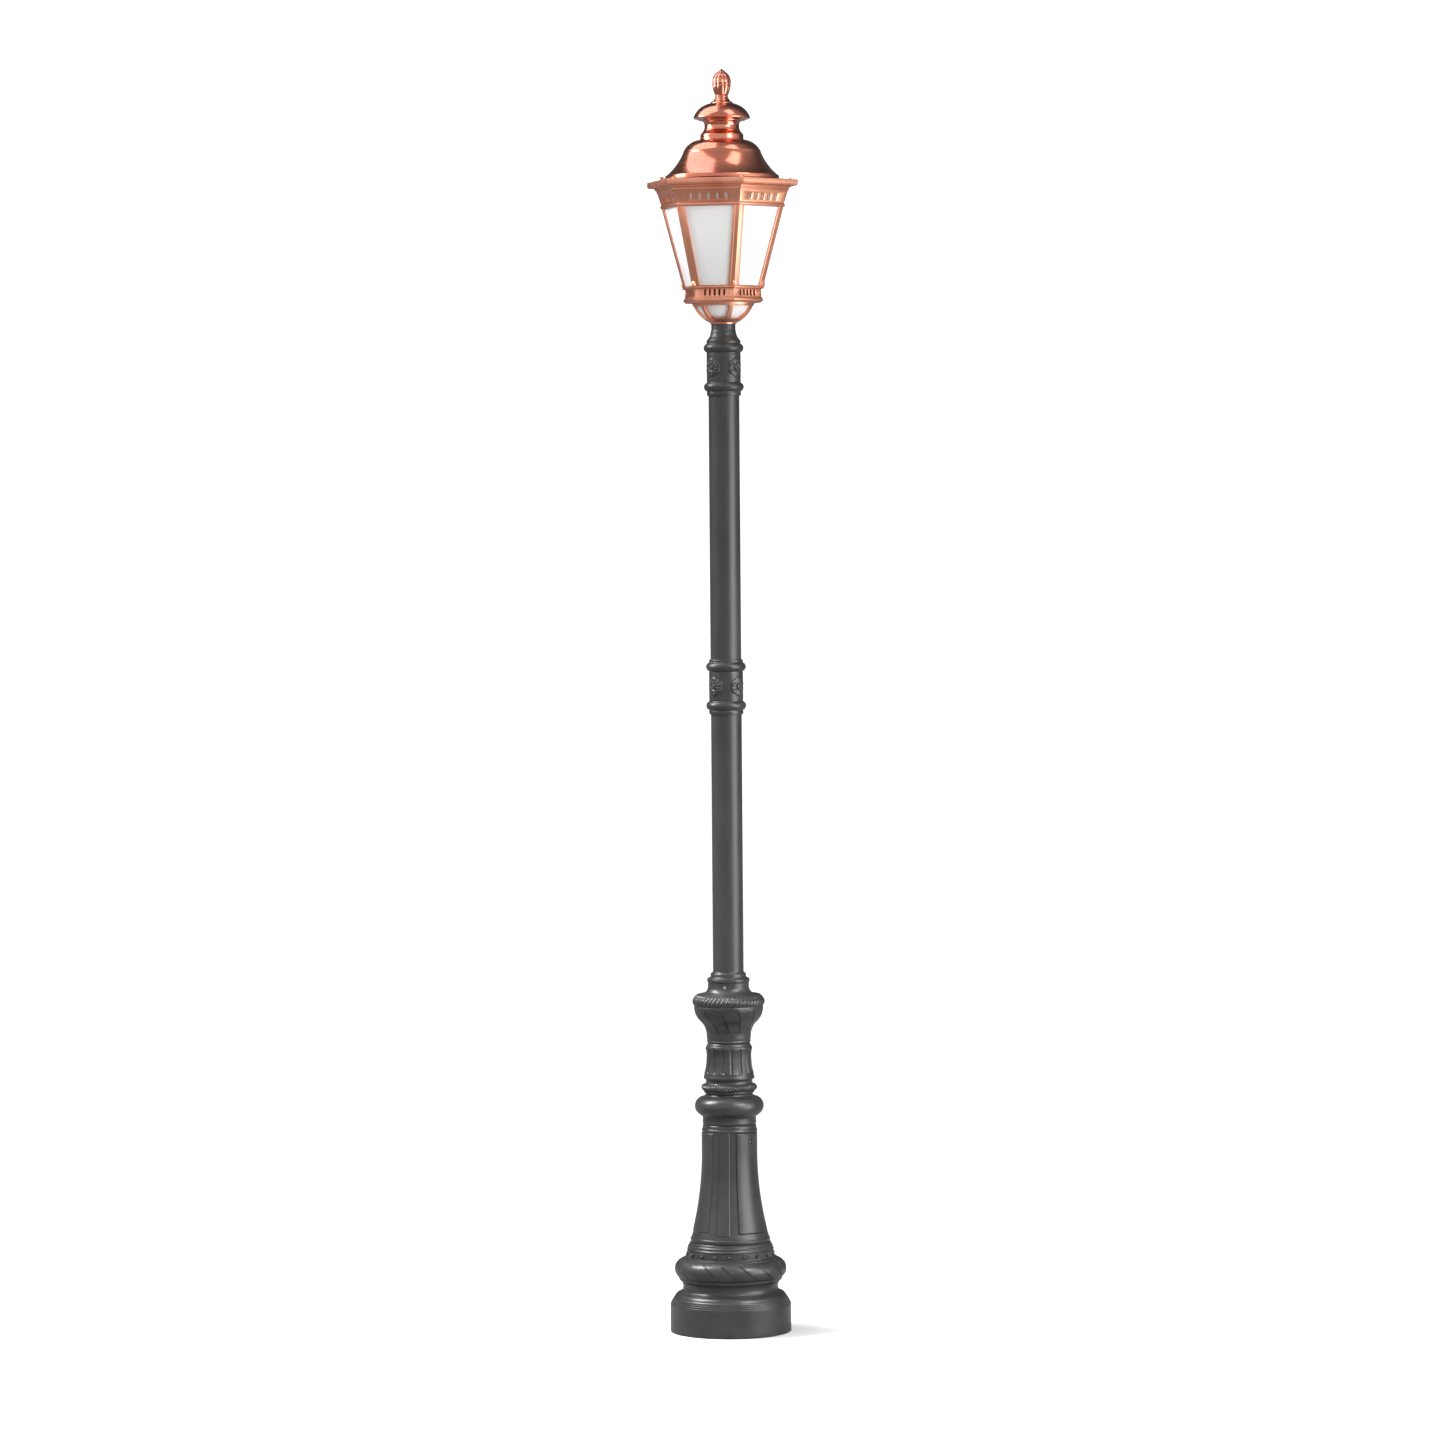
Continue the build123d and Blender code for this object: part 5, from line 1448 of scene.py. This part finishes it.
    def camera(self, scene):
        """A long lens a little above the middle of the post."""
        lens = bpy.data.cameras.new("camera")
        lens.sensor_width, lens.lens = 36, 131.2
        lens.clip_end = 200
        camera = bpy.data.objects.new("camera", lens)
        turn, away, height = radians(self.view_turn), 15.2, 2.361
        pitch, aside, roll = 0.0392, 0.00074, -0.0077
        place = Matrix.Translation((away * sin(turn), -away * cos(turn), height))
        facing = Matrix.Rotation(turn + aside, 4, "Z") @ Matrix.Rotation(pi / 2 - pitch, 4, "X")
        camera.matrix_world = place @ facing @ Matrix.Rotation(roll, 4, "Z")
        scene.collection.objects.link(camera)
        scene.camera = camera


# ---------------------------------------------------------------- panel and registration
OPERATORS = (
    LAMPPOST_OT_foot,
    LAMPPOST_OT_pedestal,
    LAMPPOST_OT_column,
    LAMPPOST_OT_shaft,
    LAMPPOST_OT_bowl,
    LAMPPOST_OT_gallery,
    LAMPPOST_OT_panes,
    LAMPPOST_OT_cornice,
    LAMPPOST_OT_roof,
    LAMPPOST_OT_gear,
    LAMPPOST_OT_stage,
)


class LAMPPOST_PT_sidebar(bpy.types.Panel):
    """Lists the lamp post's sizes, colours and building steps"""

    bl_idname = "LAMPPOST_PT_sidebar"
    bl_label = "Lamp Post"
    bl_space_type = "VIEW_3D"
    bl_region_type = "UI"
    bl_category = "Lamp Post"

    def draw(self, context):
        for group in (context.scene.lamp_post_sizes, context.scene.lamp_post_colours):
            for name in type(group).__annotations__:
                self.layout.prop(group, name)
        for operator in OPERATORS:
            self.layout.operator(operator.bl_idname)


CLASSES = (LampPostColours, LampPostSizes, *OPERATORS, LAMPPOST_PT_sidebar)


def register():
    for item in CLASSES:
        bpy.utils.register_class(item)
    bpy.types.Scene.lamp_post_colours = PointerProperty(type=LampPostColours)
    bpy.types.Scene.lamp_post_sizes = PointerProperty(type=LampPostSizes)


def unregister():
    del bpy.types.Scene.lamp_post_sizes
    del bpy.types.Scene.lamp_post_colours
    for item in reversed(CLASSES):
        bpy.utils.unregister_class(item)


def main():
    register()
    for operator in OPERATORS:
        group, name = operator.bl_idname.split(".")
        getattr(getattr(bpy.ops, group), name)()


if __name__ == "__main__":
    main()
